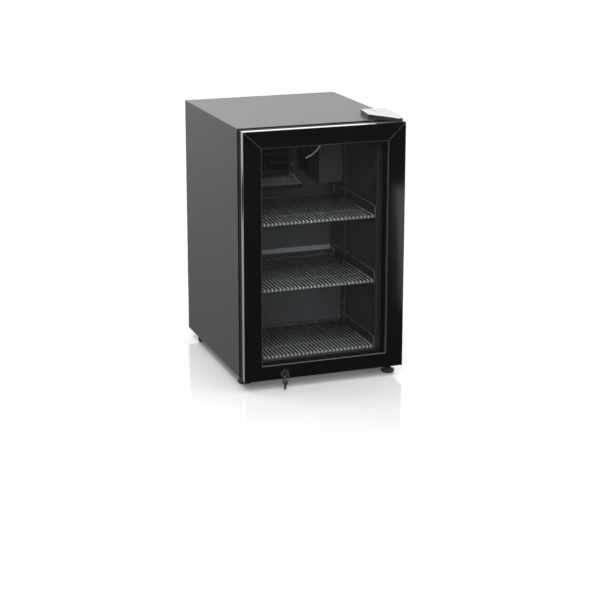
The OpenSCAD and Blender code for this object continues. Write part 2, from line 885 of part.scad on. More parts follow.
// Two panes with the sealed spacer between their edges
module glass_unit() {
    w = half_w - stile_w + pane_lap - 0.5;
    low = door_bottom + sill_w - pane_lap + 0.5;
    high = door_top - rail_w + pane_lap - 0.5;
    color("lightblue")
    difference() {
        block([-w, pane_front, low], [w, pane_back, high]);
        block([-w + 8, pane_front + pane_t, low + 8], [w - 8, pane_back - pane_t, high - 8]);
    }
}

module door_gasket() {
    color("gray")
    difference() {
        block([-cav_w / 2 - 18, door_back, cav_floor - 10], [cav_w / 2 + 18, y0 - 0.3, cav_top + 18]);
        block([-cav_w / 2 - 4, door_back - 1, cav_floor + 1], [cav_w / 2 + 4, y0 + 1, cav_top + 4]);
    }
}

module grip_cup() {
    color("black")
    difference() {
        grip_prism(-half_w + trim_t + 0.2, -half_w + grip_deep + 0.8, 0.3);
        grip_prism(-half_w, -half_w + grip_deep - 0.6, -0.9);
    }
}

module hinge_bushes() {
    color("white")
    for (z = [door_bottom, door_top - bush_len])
        difference() {
            rod_z(hinge_x, hinge_y, z, z + bush_len, bush_r - 0.05);
            rod_z(hinge_x, hinge_y, z - 1, z + bush_len + 1, pin_r + run_gap);
        }
}

module lock_body() {
    color("silver")
    difference() {
        union() {
            rod_y(lock_x, door_front - 2, door_back - 0.2, lock_z, lock_r - 0.05);
            rod_y(lock_x, door_front - 2, door_front, lock_z, lock_r + 2);
        }
        rod_y(lock_x, door_front - 3, door_back + 1, lock_z, plug_r + run_gap);
    }
}

module lock_plug() {
    color("silver")
    difference() {
        union() {
            rod_y(lock_x, door_front - 2.5, door_back + 5, lock_z, plug_r);
            block([lock_x, door_back + 3, lock_z - 4], [lock_x + cam_len, door_back + 5, lock_z + 4]);
        }
        block([lock_x - 0.7, door_front - 3, lock_z - 3.6], [lock_x + 0.7, door_front + 12, lock_z + 3.6]);
    }
}

// A flat key whose blade points along +Y, with a hole through its bow
module flat_key(blade) {
    difference() {
        union() {
            block([-0.6, -8, -3.2], [0.6, blade, 3.2]);
            rod_x(-0.6, 0.6, -8, 0, key_bow_r);
        }
        rod_x(-1, 1, key_hole_y, 0, 3.3);
    }
}

module door_key() {
    color("silver")
    translate([lock_x, door_front - 4, lock_z]) flat_key(12);
}

module key_ring() {
    color("silver")
    translate(ring_centre)
        rotate([90, 0, 0])
        rotate_extrude()
        translate([key_ring_r, 0])
        circle(r = ring_wire_r, $fn = 24);
}

module spare_key() {
    color("silver")
    translate(ring_centre + [-key_ring_r * cos(45), 0, -key_ring_r * sin(45) - 0.9])
        rotate([0, 0, 35])
        rotate([-90, 0, 0])
        translate([0, -key_hole_y, 0])
        flat_key(12);
}

outer_shell();
base_pan();
rear_panel();
insulation();
inner_liner();
front_frame();
front_pilasters();
rear_pilasters();
pilaster_screws();
shelf_clips();
shelf_top();
shelf_middle();
shelf_bottom();
evaporator_tube();
evaporator_fins();
evaporator_end_plates();
drip_tray();
fan_frame();
fan_blades();
duct_cover();
sensor_lead();
light_housing();
light_lens();
compressor();
compressor_plate();
compressor_grommets();
terminal_cover();
condenser_tube();
condenser_wires();
condenser_brackets();
filter_drier();
discharge_pipe();
rear_grille();
cord_gland();
thermostat_knob();
light_switch();
foot_insert();
rear_feet();
foot_left();
foot_right();
top_hinge_bracket();
bottom_hinge_bracket();
cabinet_screws();
hinge_cover();
lock_keeper();
top_rail();
bottom_rail();
left_stile();
right_stile();
edge_trim();
inner_door_frame();
glass_unit();
door_gasket();
grip_cup();
hinge_bushes();
lock_body();
lock_plug();
door_key();
key_ring();
spare_key();
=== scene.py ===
"""The finished look of a counter-top glass door merchandiser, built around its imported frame."""

import json
import logging
import math
from dataclasses import dataclass, field
from enum import Enum
from typing import Sequence

import bmesh
import bpy
from mathutils import Matrix, Vector

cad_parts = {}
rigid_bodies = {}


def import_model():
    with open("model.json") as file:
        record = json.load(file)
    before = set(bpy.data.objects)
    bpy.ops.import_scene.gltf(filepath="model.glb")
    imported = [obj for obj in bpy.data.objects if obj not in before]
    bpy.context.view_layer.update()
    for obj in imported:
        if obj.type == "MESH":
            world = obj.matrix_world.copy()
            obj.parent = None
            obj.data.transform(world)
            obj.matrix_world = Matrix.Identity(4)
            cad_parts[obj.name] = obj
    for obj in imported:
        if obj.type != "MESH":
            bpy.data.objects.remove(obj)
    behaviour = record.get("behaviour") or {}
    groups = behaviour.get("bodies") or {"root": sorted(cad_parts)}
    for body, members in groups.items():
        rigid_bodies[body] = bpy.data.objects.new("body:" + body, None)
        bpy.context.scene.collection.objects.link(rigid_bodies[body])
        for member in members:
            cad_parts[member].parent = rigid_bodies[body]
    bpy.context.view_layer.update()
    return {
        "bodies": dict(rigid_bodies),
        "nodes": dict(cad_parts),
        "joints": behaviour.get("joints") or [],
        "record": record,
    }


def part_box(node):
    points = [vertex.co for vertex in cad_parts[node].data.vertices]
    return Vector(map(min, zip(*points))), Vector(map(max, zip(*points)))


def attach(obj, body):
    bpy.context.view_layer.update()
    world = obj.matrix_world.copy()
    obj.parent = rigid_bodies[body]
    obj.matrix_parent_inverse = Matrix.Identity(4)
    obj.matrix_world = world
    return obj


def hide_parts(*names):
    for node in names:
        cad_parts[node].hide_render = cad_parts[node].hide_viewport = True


LOG = logging.getLogger("merchandiser")
Colour = tuple[float, float, float, float]


class Body(str, Enum):
    """The rigid bodies that a piece can ride on."""

    CABINET = "cabinet"
    DOOR = "door"
    LOCK = "lock"
    KEYS = "hanging_keys"
    FAN = "fan"
    TOP_SHELF = "top_shelf"
    MIDDLE_SHELF = "middle_shelf"
    BOTTOM_SHELF = "bottom_shelf"
    LEFT_FOOT = "left_foot"
    RIGHT_FOOT = "right_foot"
    KNOB = "knob"
    ROCKER = "rocker"


# ---------------------------------------------------------------------------
# Shader node groups that several finishes share
# ---------------------------------------------------------------------------


class Graph:
    """Adds and joins nodes in one shader tree."""

    def __init__(self, tree: bpy.types.NodeTree) -> None:
        """Keep the tree."""
        self.tree = tree

    def node(self, kind: str, **settings: object) -> bpy.types.Node:
        """Add a node and set its properties.

        Args:
            kind: The node's type name.
            **settings: Properties to set on it.

        Returns:
            The new node.
        """
        node = self.tree.nodes.new(kind)
        for key, value in settings.items():
            setattr(node, key, value)
        return node

    def link(self, start: bpy.types.NodeSocket, end: bpy.types.NodeSocket) -> None:
        """Join two sockets."""
        self.tree.links.new(start, end)

    def put(self, value: object, end: bpy.types.NodeSocket) -> None:
        """Link a socket to an input, or set the input to a plain value.

        Args:
            value: A socket, a plain value, or None to leave the input alone.
            end: The input.
        """
        if isinstance(value, bpy.types.NodeSocket):
            self.link(value, end)
        elif value is not None:
            end.default_value = value

    def math(self, operation: str, a: object, b: object = None, clamp: bool = False) -> bpy.types.NodeSocket:
        """Combine two numbers or sockets.

        Args:
            operation: The operation's name.
            a: The first number or socket.
            b: The second, if the operation takes one.
            clamp: Whether the result is held between 0 and 1.

        Returns:
            The result's socket.
        """
        node = self.node("ShaderNodeMath", operation=operation, use_clamp=clamp)
        self.put(a, node.inputs[0])
        self.put(b, node.inputs[1])
        return node.outputs[0]

    def remap(self, value: bpy.types.NodeSocket, **limits: float) -> bpy.types.NodeSocket:
        """Map a number from one range onto another.

        Args:
            value: The number's socket.
            **limits: The limits that aren't 0 and 1, with underscores for spaces in their names.

        Returns:
            The mapped number's socket.
        """
        node = self.node("ShaderNodeMapRange")
        for name, limit in limits.items():
            node.inputs[name.replace("_", " ")].default_value = limit
        self.link(value, node.inputs["Value"])
        return node.outputs["Result"]

    def blend(self, factor: bpy.types.NodeSocket, a: object, b: object) -> bpy.types.NodeSocket:
        """Blend two numbers.

        Args:
            factor: The socket that says how much of the second is used.
            a: The first number or socket.
            b: The second number or socket.

        Returns:
            The blended number's socket.
        """
        node = self.node("ShaderNodeMix", data_type="FLOAT")
        self.put(factor, node.inputs["Factor"])
        self.put(a, node.inputs["A"])
        self.put(b, node.inputs["B"])
        return node.outputs["Result"]

    def normal_z(self) -> bpy.types.NodeSocket:
        """Return the Z part of the surface's normal."""
        geometry = self.node("ShaderNodeNewGeometry")
        split = self.node("ShaderNodeSeparateXYZ")
        self.link(geometry.outputs["Normal"], split.inputs[0])
        return split.outputs["Z"]


@dataclass
class GroupBuilder(Graph):
    """Makes one shader node group with number inputs and outputs.

    Args:
        name: The group's name.
        takes: Its inputs, each with its default.
        gives: Its outputs.
    """

    name: str
    takes: dict[str, float]
    gives: tuple[str, ...] = ("Mask",)
    tree: bpy.types.NodeTree = field(init=False)

    def __post_init__(self) -> None:
        """Make the group with its sockets."""
        self.tree = bpy.data.node_groups.new(self.name, "ShaderNodeTree")
        self.inputs = self.node("NodeGroupInput")
        self.outputs = self.node("NodeGroupOutput")
        for name, value in self.takes.items():
            socket = self.tree.interface.new_socket(name, in_out="INPUT", socket_type="NodeSocketFloat")
            socket.default_value = value
        for name in self.gives:
            self.tree.interface.new_socket(name, in_out="OUTPUT", socket_type="NodeSocketFloat")

    def taken(self, name: str) -> bpy.types.NodeSocket:
        """Return the socket that carries one of the group's inputs."""
        return self.inputs.outputs[name]

    def result(self, value: bpy.types.NodeSocket, name: str = "Mask") -> None:
        """Give a socket out as one of the group's outputs."""
        self.link(value, self.outputs.inputs[name])

    def noise(self, scale: str, detail: float, stretch: tuple[float, float, float] = (1, 1, 1),
              **values: float) -> bpy.types.NodeSocket:
        """Add noise over the object's own coordinates.

        Args:
            scale: The group's input that scales the noise.
            detail: The noise's octaves.
            stretch: A fixed stretch of the coordinates.
            **values: Further inputs of the noise.

        Returns:
            The noise's factor.
        """
        coords = self.node("ShaderNodeTexCoord")
        mapping = self.node("ShaderNodeMapping")
        mapping.inputs["Scale"].default_value = stretch
        self.link(coords.outputs["Object"], mapping.inputs["Vector"])
        scaled = self.node("ShaderNodeVectorMath", operation="SCALE")
        self.link(mapping.outputs["Vector"], scaled.inputs[0])
        self.link(self.taken(scale), scaled.inputs["Scale"])
        noise = self.node("ShaderNodeTexNoise")
        for name, value in {"Scale": 1.0, "Detail": detail, **values}.items():
            noise.inputs[name].default_value = value
        self.link(scaled.outputs[0], noise.inputs["Vector"])
        return noise.outputs["Fac"]


class Effects:
    """The shared shader effects, each built once."""

    _made: dict[str, bpy.types.NodeTree] = {}

    @classmethod
    def get(cls, name: str) -> bpy.types.NodeTree:
        """Return the named effect's group, building it on first use."""
        if name not in cls._made:
            cls._made[name] = getattr(cls, f"_{name}")()
        return cls._made[name]

    @staticmethod
    def _grain() -> bpy.types.NodeTree:
        """Fine moulded or powder-coat grain, with a broad slow mottling."""
        b = GroupBuilder("Grain", {"Scale": 900.0, "Mottle Scale": 9.0}, ("Height", "Mottle"))
        b.result(b.noise("Scale", detail=3.0), "Height")
        b.result(b.noise("Mottle Scale", detail=4.0), "Mottle")
        return b.tree

    @staticmethod
    def _brushed() -> bpy.types.NodeTree:
        """Long fine streaks along Z on upright faces and along X on level ones."""
        b = GroupBuilder("Brushed", {"Scale": 700.0}, ("Streak",))
        upright = b.noise("Scale", detail=4.0, stretch=(1, 1, 0.02))
        level = b.noise("Scale", detail=4.0, stretch=(0.02, 1, 1))
        facing_up = b.math("GREATER_THAN", b.math("ABSOLUTE", b.normal_z()), 0.6)
        b.result(b.blend(facing_up, upright, level), "Streak")
        return b.tree

    @staticmethod
    def _wear() -> bpy.types.NodeTree:
        """A mask that is white on sharp edges, broken up by noise."""
        b = GroupBuilder("EdgeWear", {"Amount": 0.5, "Scale": 60.0})
        geometry = b.node("ShaderNodeNewGeometry")
        rounded = b.node("ShaderNodeBevel", samples=3)
        rounded.inputs["Radius"].default_value = 0.0012
        alike = b.node("ShaderNodeVectorMath", operation="DOT_PRODUCT")
        b.link(rounded.outputs["Normal"], alike.inputs[0])
        b.link(geometry.outputs["Normal"], alike.inputs[1])
        edge = b.remap(alike.outputs["Value"], From_Min=0.985, From_Max=0.90)
        broken = b.remap(b.noise("Scale", detail=5.0), From_Min=0.45, From_Max=0.65)
        b.result(b.math("MULTIPLY", b.math("MULTIPLY", edge, broken), b.taken("Amount")))
        return b.tree

    @staticmethod
    def _dust() -> bpy.types.NodeTree:
        """A mask of settled dust: more on faces that look up, in soft patches."""
        b = GroupBuilder("Dust", {"Amount": 0.3, "Scale": 14.0})
        up = b.math("MAXIMUM", b.normal_z(), 0.12)
        patches = b.math("MULTIPLY", b.noise("Scale", detail=6.0, Roughness=0.6), up)
        b.result(b.math("MULTIPLY", patches, b.taken("Amount")))
        return b.tree

    @staticmethod
    def _smudge() -> bpy.types.NodeTree:
        """Soft wiped smears for glossy surfaces."""
        b = GroupBuilder("Smudge", {"Scale": 7.0})
        smears = b.noise("Scale", detail=7.0, stretch=(1, 1, 0.45), Distortion=1.2)
        b.result(b.remap(smears, From_Min=0.48, From_Max=0.8))
        return b.tree


# ---------------------------------------------------------------------------
# Finishes
# ---------------------------------------------------------------------------


@dataclass
class Surface(Graph):
    """One material with its Principled shader and helpers for its nodes.

    Args:
        name: The material's name.
    """

    name: str

    def __post_init__(self) -> None:
        """Make the material and find its shader."""
        self.material = bpy.data.materials.new(self.name)
        self.material.use_nodes = True
        self.tree = self.material.node_tree
        self.shader = next(n for n in self.tree.nodes if n.type == "BSDF_PRINCIPLED")

    def effect(self, name: str, **values: float) -> bpy.types.Node:
        """Place a shared effect with its own values.

        Args:
            name: The effect's name.
            **values: Input values, with underscores for spaces in their names.

        Returns:
            The group node.
        """
        node = self.node("ShaderNodeGroup", node_tree=Effects.get(name))
        for key, value in values.items():
            node.inputs[key.replace("_", " ")].default_value = value
        return node

    def mix(self, factor: bpy.types.NodeSocket, a: object, b: object) -> bpy.types.NodeSocket:
        """Mix two colours.

        Args:
            factor: The socket that says how much of the second is used.
            a: The first colour or socket.
            b: The second colour or socket.

        Returns:
            The mixed colour's socket.
        """
        node = self.node("ShaderNodeMix", data_type="RGBA")
        first_colour, second_colour, mixed_colour = 6, 7, 2
        self.link(factor, node.inputs["Factor"])
        self.put(a, node.inputs[first_colour])
        self.put(b, node.inputs[second_colour])
        return node.outputs[mixed_colour]

    def vary(self, factor: bpy.types.NodeSocket, colour: Colour, low: float,
             high: float) -> bpy.types.NodeSocket:
        """Move a colour between two brightnesses, by a factor socket."""
        return self.mix(factor, shade(colour, low), shade(colour, high))

    def span(self, value: bpy.types.NodeSocket, low: float, high: float) -> bpy.types.NodeSocket:
        """Map a 0 to 1 socket onto a range of numbers."""
        return self.remap(value, To_Min=low, To_Max=high)

    def cells(self, scale: float, feature: str = "F1") -> bpy.types.NodeSocket:
        """Add cells over the object's own coordinates.

        Args:
            scale: Cells per metre.
            feature: The measure of distance.

        Returns:
            The distance from the cells' centres.
        """
        coords = self.node("ShaderNodeTexCoord")
        cells = self.node("ShaderNodeTexVoronoi", feature=feature)
        cells.inputs["Scale"].default_value = scale
        self.link(coords.outputs["Object"], cells.inputs["Vector"])
        return cells.outputs["Distance"]

    def bump(self, height: bpy.types.NodeSocket, strength: float, distance: float) -> None:
        """Feed a height to the shader's normal.

        Args:
            height: The height socket.
            strength: How strong the relief is, from 0 to 1.
            distance: The relief's depth in metres.
        """
        node = self.node("ShaderNodeBump")
        node.inputs["Strength"].default_value = strength
        node.inputs["Distance"].default_value = distance
        self.link(height, node.inputs["Height"])
        self.feed(node.outputs["Normal"], "Normal")

    def feed(self, socket: bpy.types.NodeSocket, name: str) -> None:
        """Link a socket to one of the shader's inputs."""
        self.link(socket, self.shader.inputs[name])

    def plain(self, name: str, value: object) -> None:
        """Set one of the shader's inputs to a plain value."""
        self.shader.inputs[name].default_value = value


def shade(colour: Colour, factor: float) -> Colour:
    """Return a colour made lighter or darker by a factor."""
    return (colour[0] * factor, colour[1] * factor, colour[2] * factor, 1.0)


@dataclass(frozen=True)
class CoatedMetal:
    """Powder-coated or enamelled sheet metal.

    Args:
        name: Material name.
        colour: Base colour.
        roughness: Middle roughness.
        grain: Grain scale per metre.
        relief: Depth of the orange-peel relief in metres.
        worn: Colour where an edge is worn.
        wear: Amount of edge wear.
        dust: Amount of dust.
        coat: Clear coat weight.
        mottle: How far the slow mottling moves the colour and the roughness.
    """

    name: str
    colour: Colour
    roughness: float = 0.42
    grain: float = 1100.0
    relief: float = 0.00005
    worn: Colour = (0.32, 0.32, 0.33, 1.0)
    wear: float = 0.5
    dust: float = 0.25
    coat: float = 0.0
    mottle: float = 0.05

    def make(self) -> bpy.types.Material:
        """Return the finished material."""
        s = Surface(self.name)
        grain = s.effect("grain", Scale=self.grain, Mottle_Scale=6.0)
        wear = s.effect("wear", Amount=self.wear, Scale=70.0)
        dust = s.effect("dust", Amount=self.dust, Scale=16.0)
        half = self.mottle / 2
        base = s.vary(grain.outputs["Mottle"], self.colour, 1 - self.mottle, 1 + self.mottle)
        dusty = s.mix(dust.outputs["Mask"], base, (0.42, 0.42, 0.42, 1))
        s.feed(s.mix(wear.outputs["Mask"], dusty, self.worn), "Base Color")
        s.feed(s.span(grain.outputs["Mottle"], self.roughness - half, self.roughness + half), "Roughness")
        s.plain("Coat Weight", self.coat)
        s.plain("Coat Roughness", 0.12)
        s.bump(grain.outputs["Height"], strength=0.3, distance=self.relief)
        return s.material


@dataclass(frozen=True)
class BareMetal:
    """Brushed, plated or drawn metal.

    Args:
        name: Material name.
        colour: Base colour.
        roughness: Middle roughness.
        streak: Scale of the brushing per metre.
        spread: How far the streaks move the colour and the roughness.
    """

    name: str
    colour: Colour
    roughness: float = 0.3
    streak: float = 700.0
    spread: float = 0.12

    def make(self) -> bpy.types.Material:
        """Return the finished material."""
        s = Surface(self.name)
        brushed = s.effect("brushed", Scale=self.streak)
        smudge = s.effect("smudge", Scale=11.0)
        streaks = s.vary(brushed.outputs["Streak"], self.colour, 1 - self.spread, 1 + self.spread)
        smeared = s.span(smudge.outputs["Mask"], low=0.0, high=0.3)
        s.feed(s.mix(smeared, streaks, shade(self.colour, 0.75)), "Base Color")
        smooth, coarse = self.roughness - self.spread / 2, self.roughness + self.spread
        rough = s.span(brushed.outputs["Streak"], smooth, coarse)
        greasy = s.span(smudge.outputs["Mask"], low=0.0, high=0.1)
        s.feed(s.math("ADD", rough, greasy, clamp=True), "Roughness")
        s.plain("Metallic", 1.0)
        s.bump(brushed.outputs["Streak"], strength=0.25, distance=0.00002)
        return s.material


@dataclass(frozen=True)
class Moulded:
    """Moulded plastic or rubber.

    Args:
        name: Material name.
        colour: Base colour.
        roughness: Middle roughness.
        grain: Grain scale per metre.
        relief: Depth of the grain in metres.
        dust: Amount of dust.
        specular: Specular level.
    """

    name: str
    colour: Colour
    roughness: float = 0.5
    grain: float = 1600.0
    relief: float = 0.00004
    dust: float = 0.15
    specular: float = 0.5

    def make(self) -> bpy.types.Material:
        """Return the finished material."""
        s = Surface(self.name)
        grain = s.effect("grain", Scale=self.grain, Mottle_Scale=18.0)
        dust = s.effect("dust", Amount=self.dust, Scale=30.0)
        base = s.vary(grain.outputs["Mottle"], self.colour, low=0.82, high=1.16)
        s.feed(s.mix(dust.outputs["Mask"], base, (0.4, 0.4, 0.39, 1)), "Base Color")
        s.feed(s.span(grain.outputs["Mottle"], self.roughness - 0.1, self.roughness + 0.08), "Roughness")
        s.plain("Specular IOR Level", self.specular)
        s.bump(grain.outputs["Height"], strength=0.5, distance=self.relief)
        return s.material


@dataclass(frozen=True)
class TopHighlightMoulding:
    """Dark moulded plastic whose upward faces are painted pale: a painted highlight for the bright sky that
    they reflect.

    Args:
        name: Material name.
        colour: Colour of the plastic.
        painted_highlight: Pale colour painted on the upward faces as a highlight.
        roughness: Middle roughness.
    """

    name: str
    colour: Colour
    painted_highlight: Colour
    roughness: float = 0.28

    def make(self) -> bpy.types.Material:
        """Return the finished material."""
        s = Surface(self.name)
        grain = s.effect("grain", Scale=1500.0, Mottle_Scale=20.0)
        # Upward faces take the pale colour: a painted highlight of the bright sky, not a coating.
        up = s.remap(s.normal_z(), From_Min=0.80, From_Max=0.95)
        body = s.vary(grain.outputs["Mottle"], self.colour, low=0.9, high=1.1)
        painted_highlight = s.vary(grain.outputs["Mottle"], self.painted_highlight, low=0.94, high=1.04)
        s.feed(s.mix(up, body, painted_highlight), "Base Color")
        s.feed(s.span(grain.outputs["Mottle"], self.roughness - 0.05, self.roughness + 0.07), "Roughness")
        s.bump(grain.outputs["Height"], strength=0.3, distance=0.00002)
        return s.material


@dataclass(frozen=True)
class GlossCoat:
    """Deep gloss black coating with faint wiped smears.

    Args:
        name: Material name.
        colour: Base colour.
        roughness: Roughness where the surface is clean.
        smear: Roughness added where it is smeared.
        specular: Specular level.
    """

    name: str
    colour: Colour
    roughness: float = 0.12
    smear: float = 0.08
    specular: float = 0.5

    def make(self) -> bpy.types.Material:
        """Return the finished material."""
        s = Surface(self.name)
        smudge = s.effect("smudge", Scale=6.0)
        dust = s.effect("dust", Amount=0.05, Scale=40.0)
        base = s.mix(smudge.outputs["Mask"], self.colour, shade(self.colour, 1.25))
        s.feed(s.mix(dust.outputs["Mask"], base, (0.3, 0.3, 0.3, 1)), "Base Color")
        s.feed(s.span(smudge.outputs["Mask"], self.roughness, self.roughness + self.smear), "Roughness")
        s.plain("Specular IOR Level", self.specular)
        return s.material


@dataclass(frozen=True)
class ClearPane:
    """Tinted float glass.

    Args:
        name: Material name.
        tint: Colour that the pane lets through.
        roughness: Surface roughness.
    """

    name: str
    tint: Colour
    roughness: float = 0.0

    def make(self) -> bpy.types.Material:
        """Return the finished material."""
        s = Surface(self.name)
        smudge = s.effect("smudge", Scale=5.0)
        smeared = s.span(smudge.outputs["Mask"], low=0.0, high=0.5)
        s.feed(s.mix(smeared, self.tint, shade(self.tint, 0.94)), "Base Color")
        s.feed(s.span(smudge.outputs["Mask"], self.roughness, self.roughness + 0.02), "Roughness")
        s.plain("Transmission Weight", 1.0)
        s.plain("IOR", 1.45)
        s.plain("Specular IOR Level", 0.3)
        return s.material


@dataclass(frozen=True)
class Foil:
    """Thin satin sheet with a pebbled roll pattern, as on a refrigerator liner.

    Args:
        name: Material name.
        colour: Base colour.
        roughness: Middle roughness.
        pebble: Scale of the pebbles per metre.
        metallic: How metallic the sheet is.
    """

    name: str
    colour: Colour
    roughness: float = 0.4
    pebble: float = 700.0
    metallic: float = 0.55

    def make(self) -> bpy.types.Material:
        """Return the finished material."""
        s = Surface(self.name)
        cells = s.cells(self.pebble, "SMOOTH_F1")
        grain = s.effect("grain", Scale=500.0, Mottle_Scale=5.0)
        dust = s.effect("dust", Amount=0.12, Scale=12.0)
        base = s.vary(grain.outputs["Mottle"], self.colour, low=0.88, high=1.12)
        s.feed(s.mix(dust.outputs["Mask"], base, shade(self.colour, 1.3)), "Base Color")
        s.feed(s.span(grain.outputs["Mottle"], self.roughness - 0.06, self.roughness + 0.1), "Roughness")
        s.plain("Metallic", self.metallic)
        s.bump(cells, strength=0.06, distance=0.00008)
        return s.material


@dataclass(frozen=True)
class RigidFoam:
    """Cut polyurethane foam with fine open cells.

    Args:
        name: Material name.
        colour: Base colour.
        cells: Cells per metre.
    """

    name: str
    colour: Colour
    cells: float = 650.0

    def make(self) -> bpy.types.Material:
        """Return the finished material."""
        s = Surface(self.name)
        cells = s.cells(self.cells)
        grain = s.effect("grain", Scale=300.0, Mottle_Scale=12.0)
        base = s.vary(grain.outputs["Mottle"], self.colour, low=0.8, high=1.1)
        s.feed(s.mix(cells, shade(self.colour, 0.7), base), "Base Color")
        s.plain("Roughness", 0.9)
        s.bump(cells, strength=0.7, distance=0.0004)
        return s.material


class Finish(Enum):
    """Every finish on the object, by the part of the cabinet that wears it."""

    SHELL = CoatedMetal("graphite_shell", (0.075, 0.073, 0.074, 1), roughness=0.42, dust=0.08, wear=0.3)
    ENAMEL = CoatedMetal("black_enamel", (0.015, 0.015, 0.016, 1), roughness=0.34, grain=700.0, dust=0.35)
    WIRE = CoatedMetal("coated_wire", (0.82, 0.83, 0.85, 1), roughness=0.26, grain=1800.0,
                       relief=0.00003, wear=0.1, dust=0.05, coat=0.4)
    # Painted shade: a darker copy of the wire coating, for the cross wires and side guards that sit in
    # shade.
    SHADED_RAIL = CoatedMetal("shaded_rail_coating", (0.2, 0.2, 0.205, 1), roughness=0.28, grain=1800.0,
                       dust=0.05, wear=0.2)
    FRAME = GlossCoat("black_profile", (0.0035, 0.0035, 0.004, 1), roughness=0.12, specular=0.35)
    TRIM = BareMetal("anodised_trim", (0.86, 0.86, 0.87, 1), roughness=0.3, streak=900.0, spread=0.08)
    ZINC = BareMetal("zinc_sheet", (0.52, 0.53, 0.55, 1), roughness=0.42, streak=350.0)
    STEEL = BareMetal("plated_steel", (0.56, 0.56, 0.57, 1), roughness=0.28, streak=1200.0)
    CHROME = BareMetal("polished_plating", (0.74, 0.74, 0.75, 1), roughness=0.12, streak=1500.0,
                       spread=0.06)
    KEY = BareMetal("dark_nickel_key", (0.2, 0.2, 0.2, 1), roughness=0.24, streak=1600.0, spread=0.1)
    COPPER = BareMetal("drawn_copper", (0.58, 0.34, 0.24, 1), roughness=0.3, streak=500.0, spread=0.16)
    FIN = BareMetal("fin_foil", (0.45, 0.455, 0.46, 1), roughness=0.42, streak=400.0, spread=0.1)
    COIL = BareMetal("coil_tube", (0.86, 0.86, 0.87, 1), roughness=0.42, streak=500.0, spread=0.14)
    # The lighter mitre lines are partly the joints and partly a painted highlight.
    MITRE = CoatedMetal("mitre_joint_highlight", (0.09, 0.09, 0.1, 1), roughness=0.4)
    BEAD = CoatedMetal("glazing_bead", (0.14, 0.145, 0.15, 1), roughness=0.35)
    SPACER = BareMetal("spacer_bar", (0.4, 0.4, 0.42, 1), roughness=0.35, streak=600.0)
    BLACK = Moulded("black_moulding", (0.012, 0.012, 0.013, 1), roughness=0.44)
    MATT = Moulded("matt_moulding", (0.008, 0.008, 0.009, 1), roughness=0.62, dust=0.03, specular=0.16)
    # The hinge cover's pale top is a painted highlight.
    CAP = TopHighlightMoulding("hinge_cap", (0.03, 0.03, 0.033, 1), (0.5, 0.5, 0.52, 1))
    RUBBER = Moulded("black_rubber", (0.014, 0.014, 0.014, 1), roughness=0.78, dust=0.35, specular=0.3)
    GASKET = Moulded("door_gasket", (0.014, 0.014, 0.015, 1), roughness=0.62, dust=0.05, specular=0.25)
    WHITE = Moulded("white_moulding", (0.9, 0.9, 0.88, 1), roughness=0.36)
    LENS = Moulded("frosted_lens", (0.8, 0.8, 0.78, 1), roughness=0.5, relief=0.0001)
    # The drip tray's pale upward faces are a painted highlight.
    TRAY = TopHighlightMoulding("drip_tray", (0.02, 0.02, 0.022, 1), (0.85, 0.86, 0.87, 1), roughness=0.4)
    FAN = Moulded("fan_plastic", (0.03, 0.03, 0.032, 1), roughness=0.34)
    LINER = Foil("liner_sheet", (0.085, 0.088, 0.096, 1), roughness=0.42, metallic=0.2)
    UPRIGHT = Foil("upright_sheet", (0.13, 0.134, 0.142, 1), roughness=0.32, pebble=900.0, metallic=0.6)
    LEDGE = Foil("ledge_sheet", (0.72, 0.74, 0.76, 1), roughness=0.3, pebble=420.0, metallic=0.5)
    FOAM = RigidFoam("rigid_foam", (0.72, 0.62, 0.36, 1))
    OUTER_PANE = ClearPane("outer_pane", (0.86, 0.88, 0.88, 1))
    INNER_PANE = ClearPane("inner_pane", (0.90, 0.92, 0.92, 1))

    def material(self) -> bpy.types.Material:
        """Return this finish's material, made on first use."""
        if self.name not in _MATERIALS:
            _MATERIALS[self.name] = self.value.make()
        return _MATERIALS[self.name]


_MATERIALS: dict[str, bpy.types.Material] = {}


@dataclass(frozen=True)
class Edge:
    """How a piece's sharp edges are rounded.

    Args:
        width: Width of the rounding in metres.
        segments: Number of segments.
        angle: Edges sharper than this many degrees are rounded.
    """

    width: float
    segments: int = 2
    angle: float = 35.0


class Rounding(Enum):
    """Every rounding on the object, from the finest to the softest."""

    KEY = Edge(0.0002)
    FOLD = Edge(0.0003)
    SHEET = Edge(0.0004)
    PLATE = Edge(0.0005)
    SCREW = Edge(0.0005, segments=3)
    LENS = Edge(0.0006)
    TURNED = Edge(0.0006, segments=3)
    DRAWN = Edge(0.0006, angle=50.0)
    HOUSING = Edge(0.0008)
    CAP = Edge(0.0008, segments=3)
    PROFILE = Edge(0.0009, segments=3)
    MOULDED = Edge(0.001)
    KNOB = Edge(0.001, segments=3)
    PRESSED = Edge(0.001, angle=50.0)
    GASKET = Edge(0.0015, segments=3)
    SHELL = Edge(0.0016, segments=3)
    COVER = Edge(0.003, segments=4)


# ---------------------------------------------------------------------------
# Mesh tools
# ---------------------------------------------------------------------------


def new_object(name: str, data: bpy.types.ID) -> bpy.types.Object:
    """Make an object of some data and put it in the scene."""
    item = bpy.data.objects.new(name, data)
    bpy.context.scene.collection.objects.link(item)
    return item


def shade_smooth(mesh: bpy.types.Mesh) -> None:
    """Shade all faces of a mesh smooth."""
    for face in mesh.polygons:
        face.use_smooth = True


def new_piece(name: str, bm: bmesh.types.BMesh, finish: Finish, smooth: bool = True) -> bpy.types.Object:
    """Turn a bmesh into an object with a finish.

    Args:
        name: The piece's name.
        bm: The mesh to use up.
        finish: Its finish.
        smooth: Whether its faces are shaded smooth.

    Returns:
        The new object.
    """
    bmesh.ops.recalc_face_normals(bm, faces=bm.faces)
    mesh = bpy.data.meshes.new(name)
    bm.to_mesh(mesh)
    bm.free()
    piece = new_object(name, mesh)
    mesh.materials.append(finish.material())
    if smooth:
        shade_smooth(mesh)
    return piece


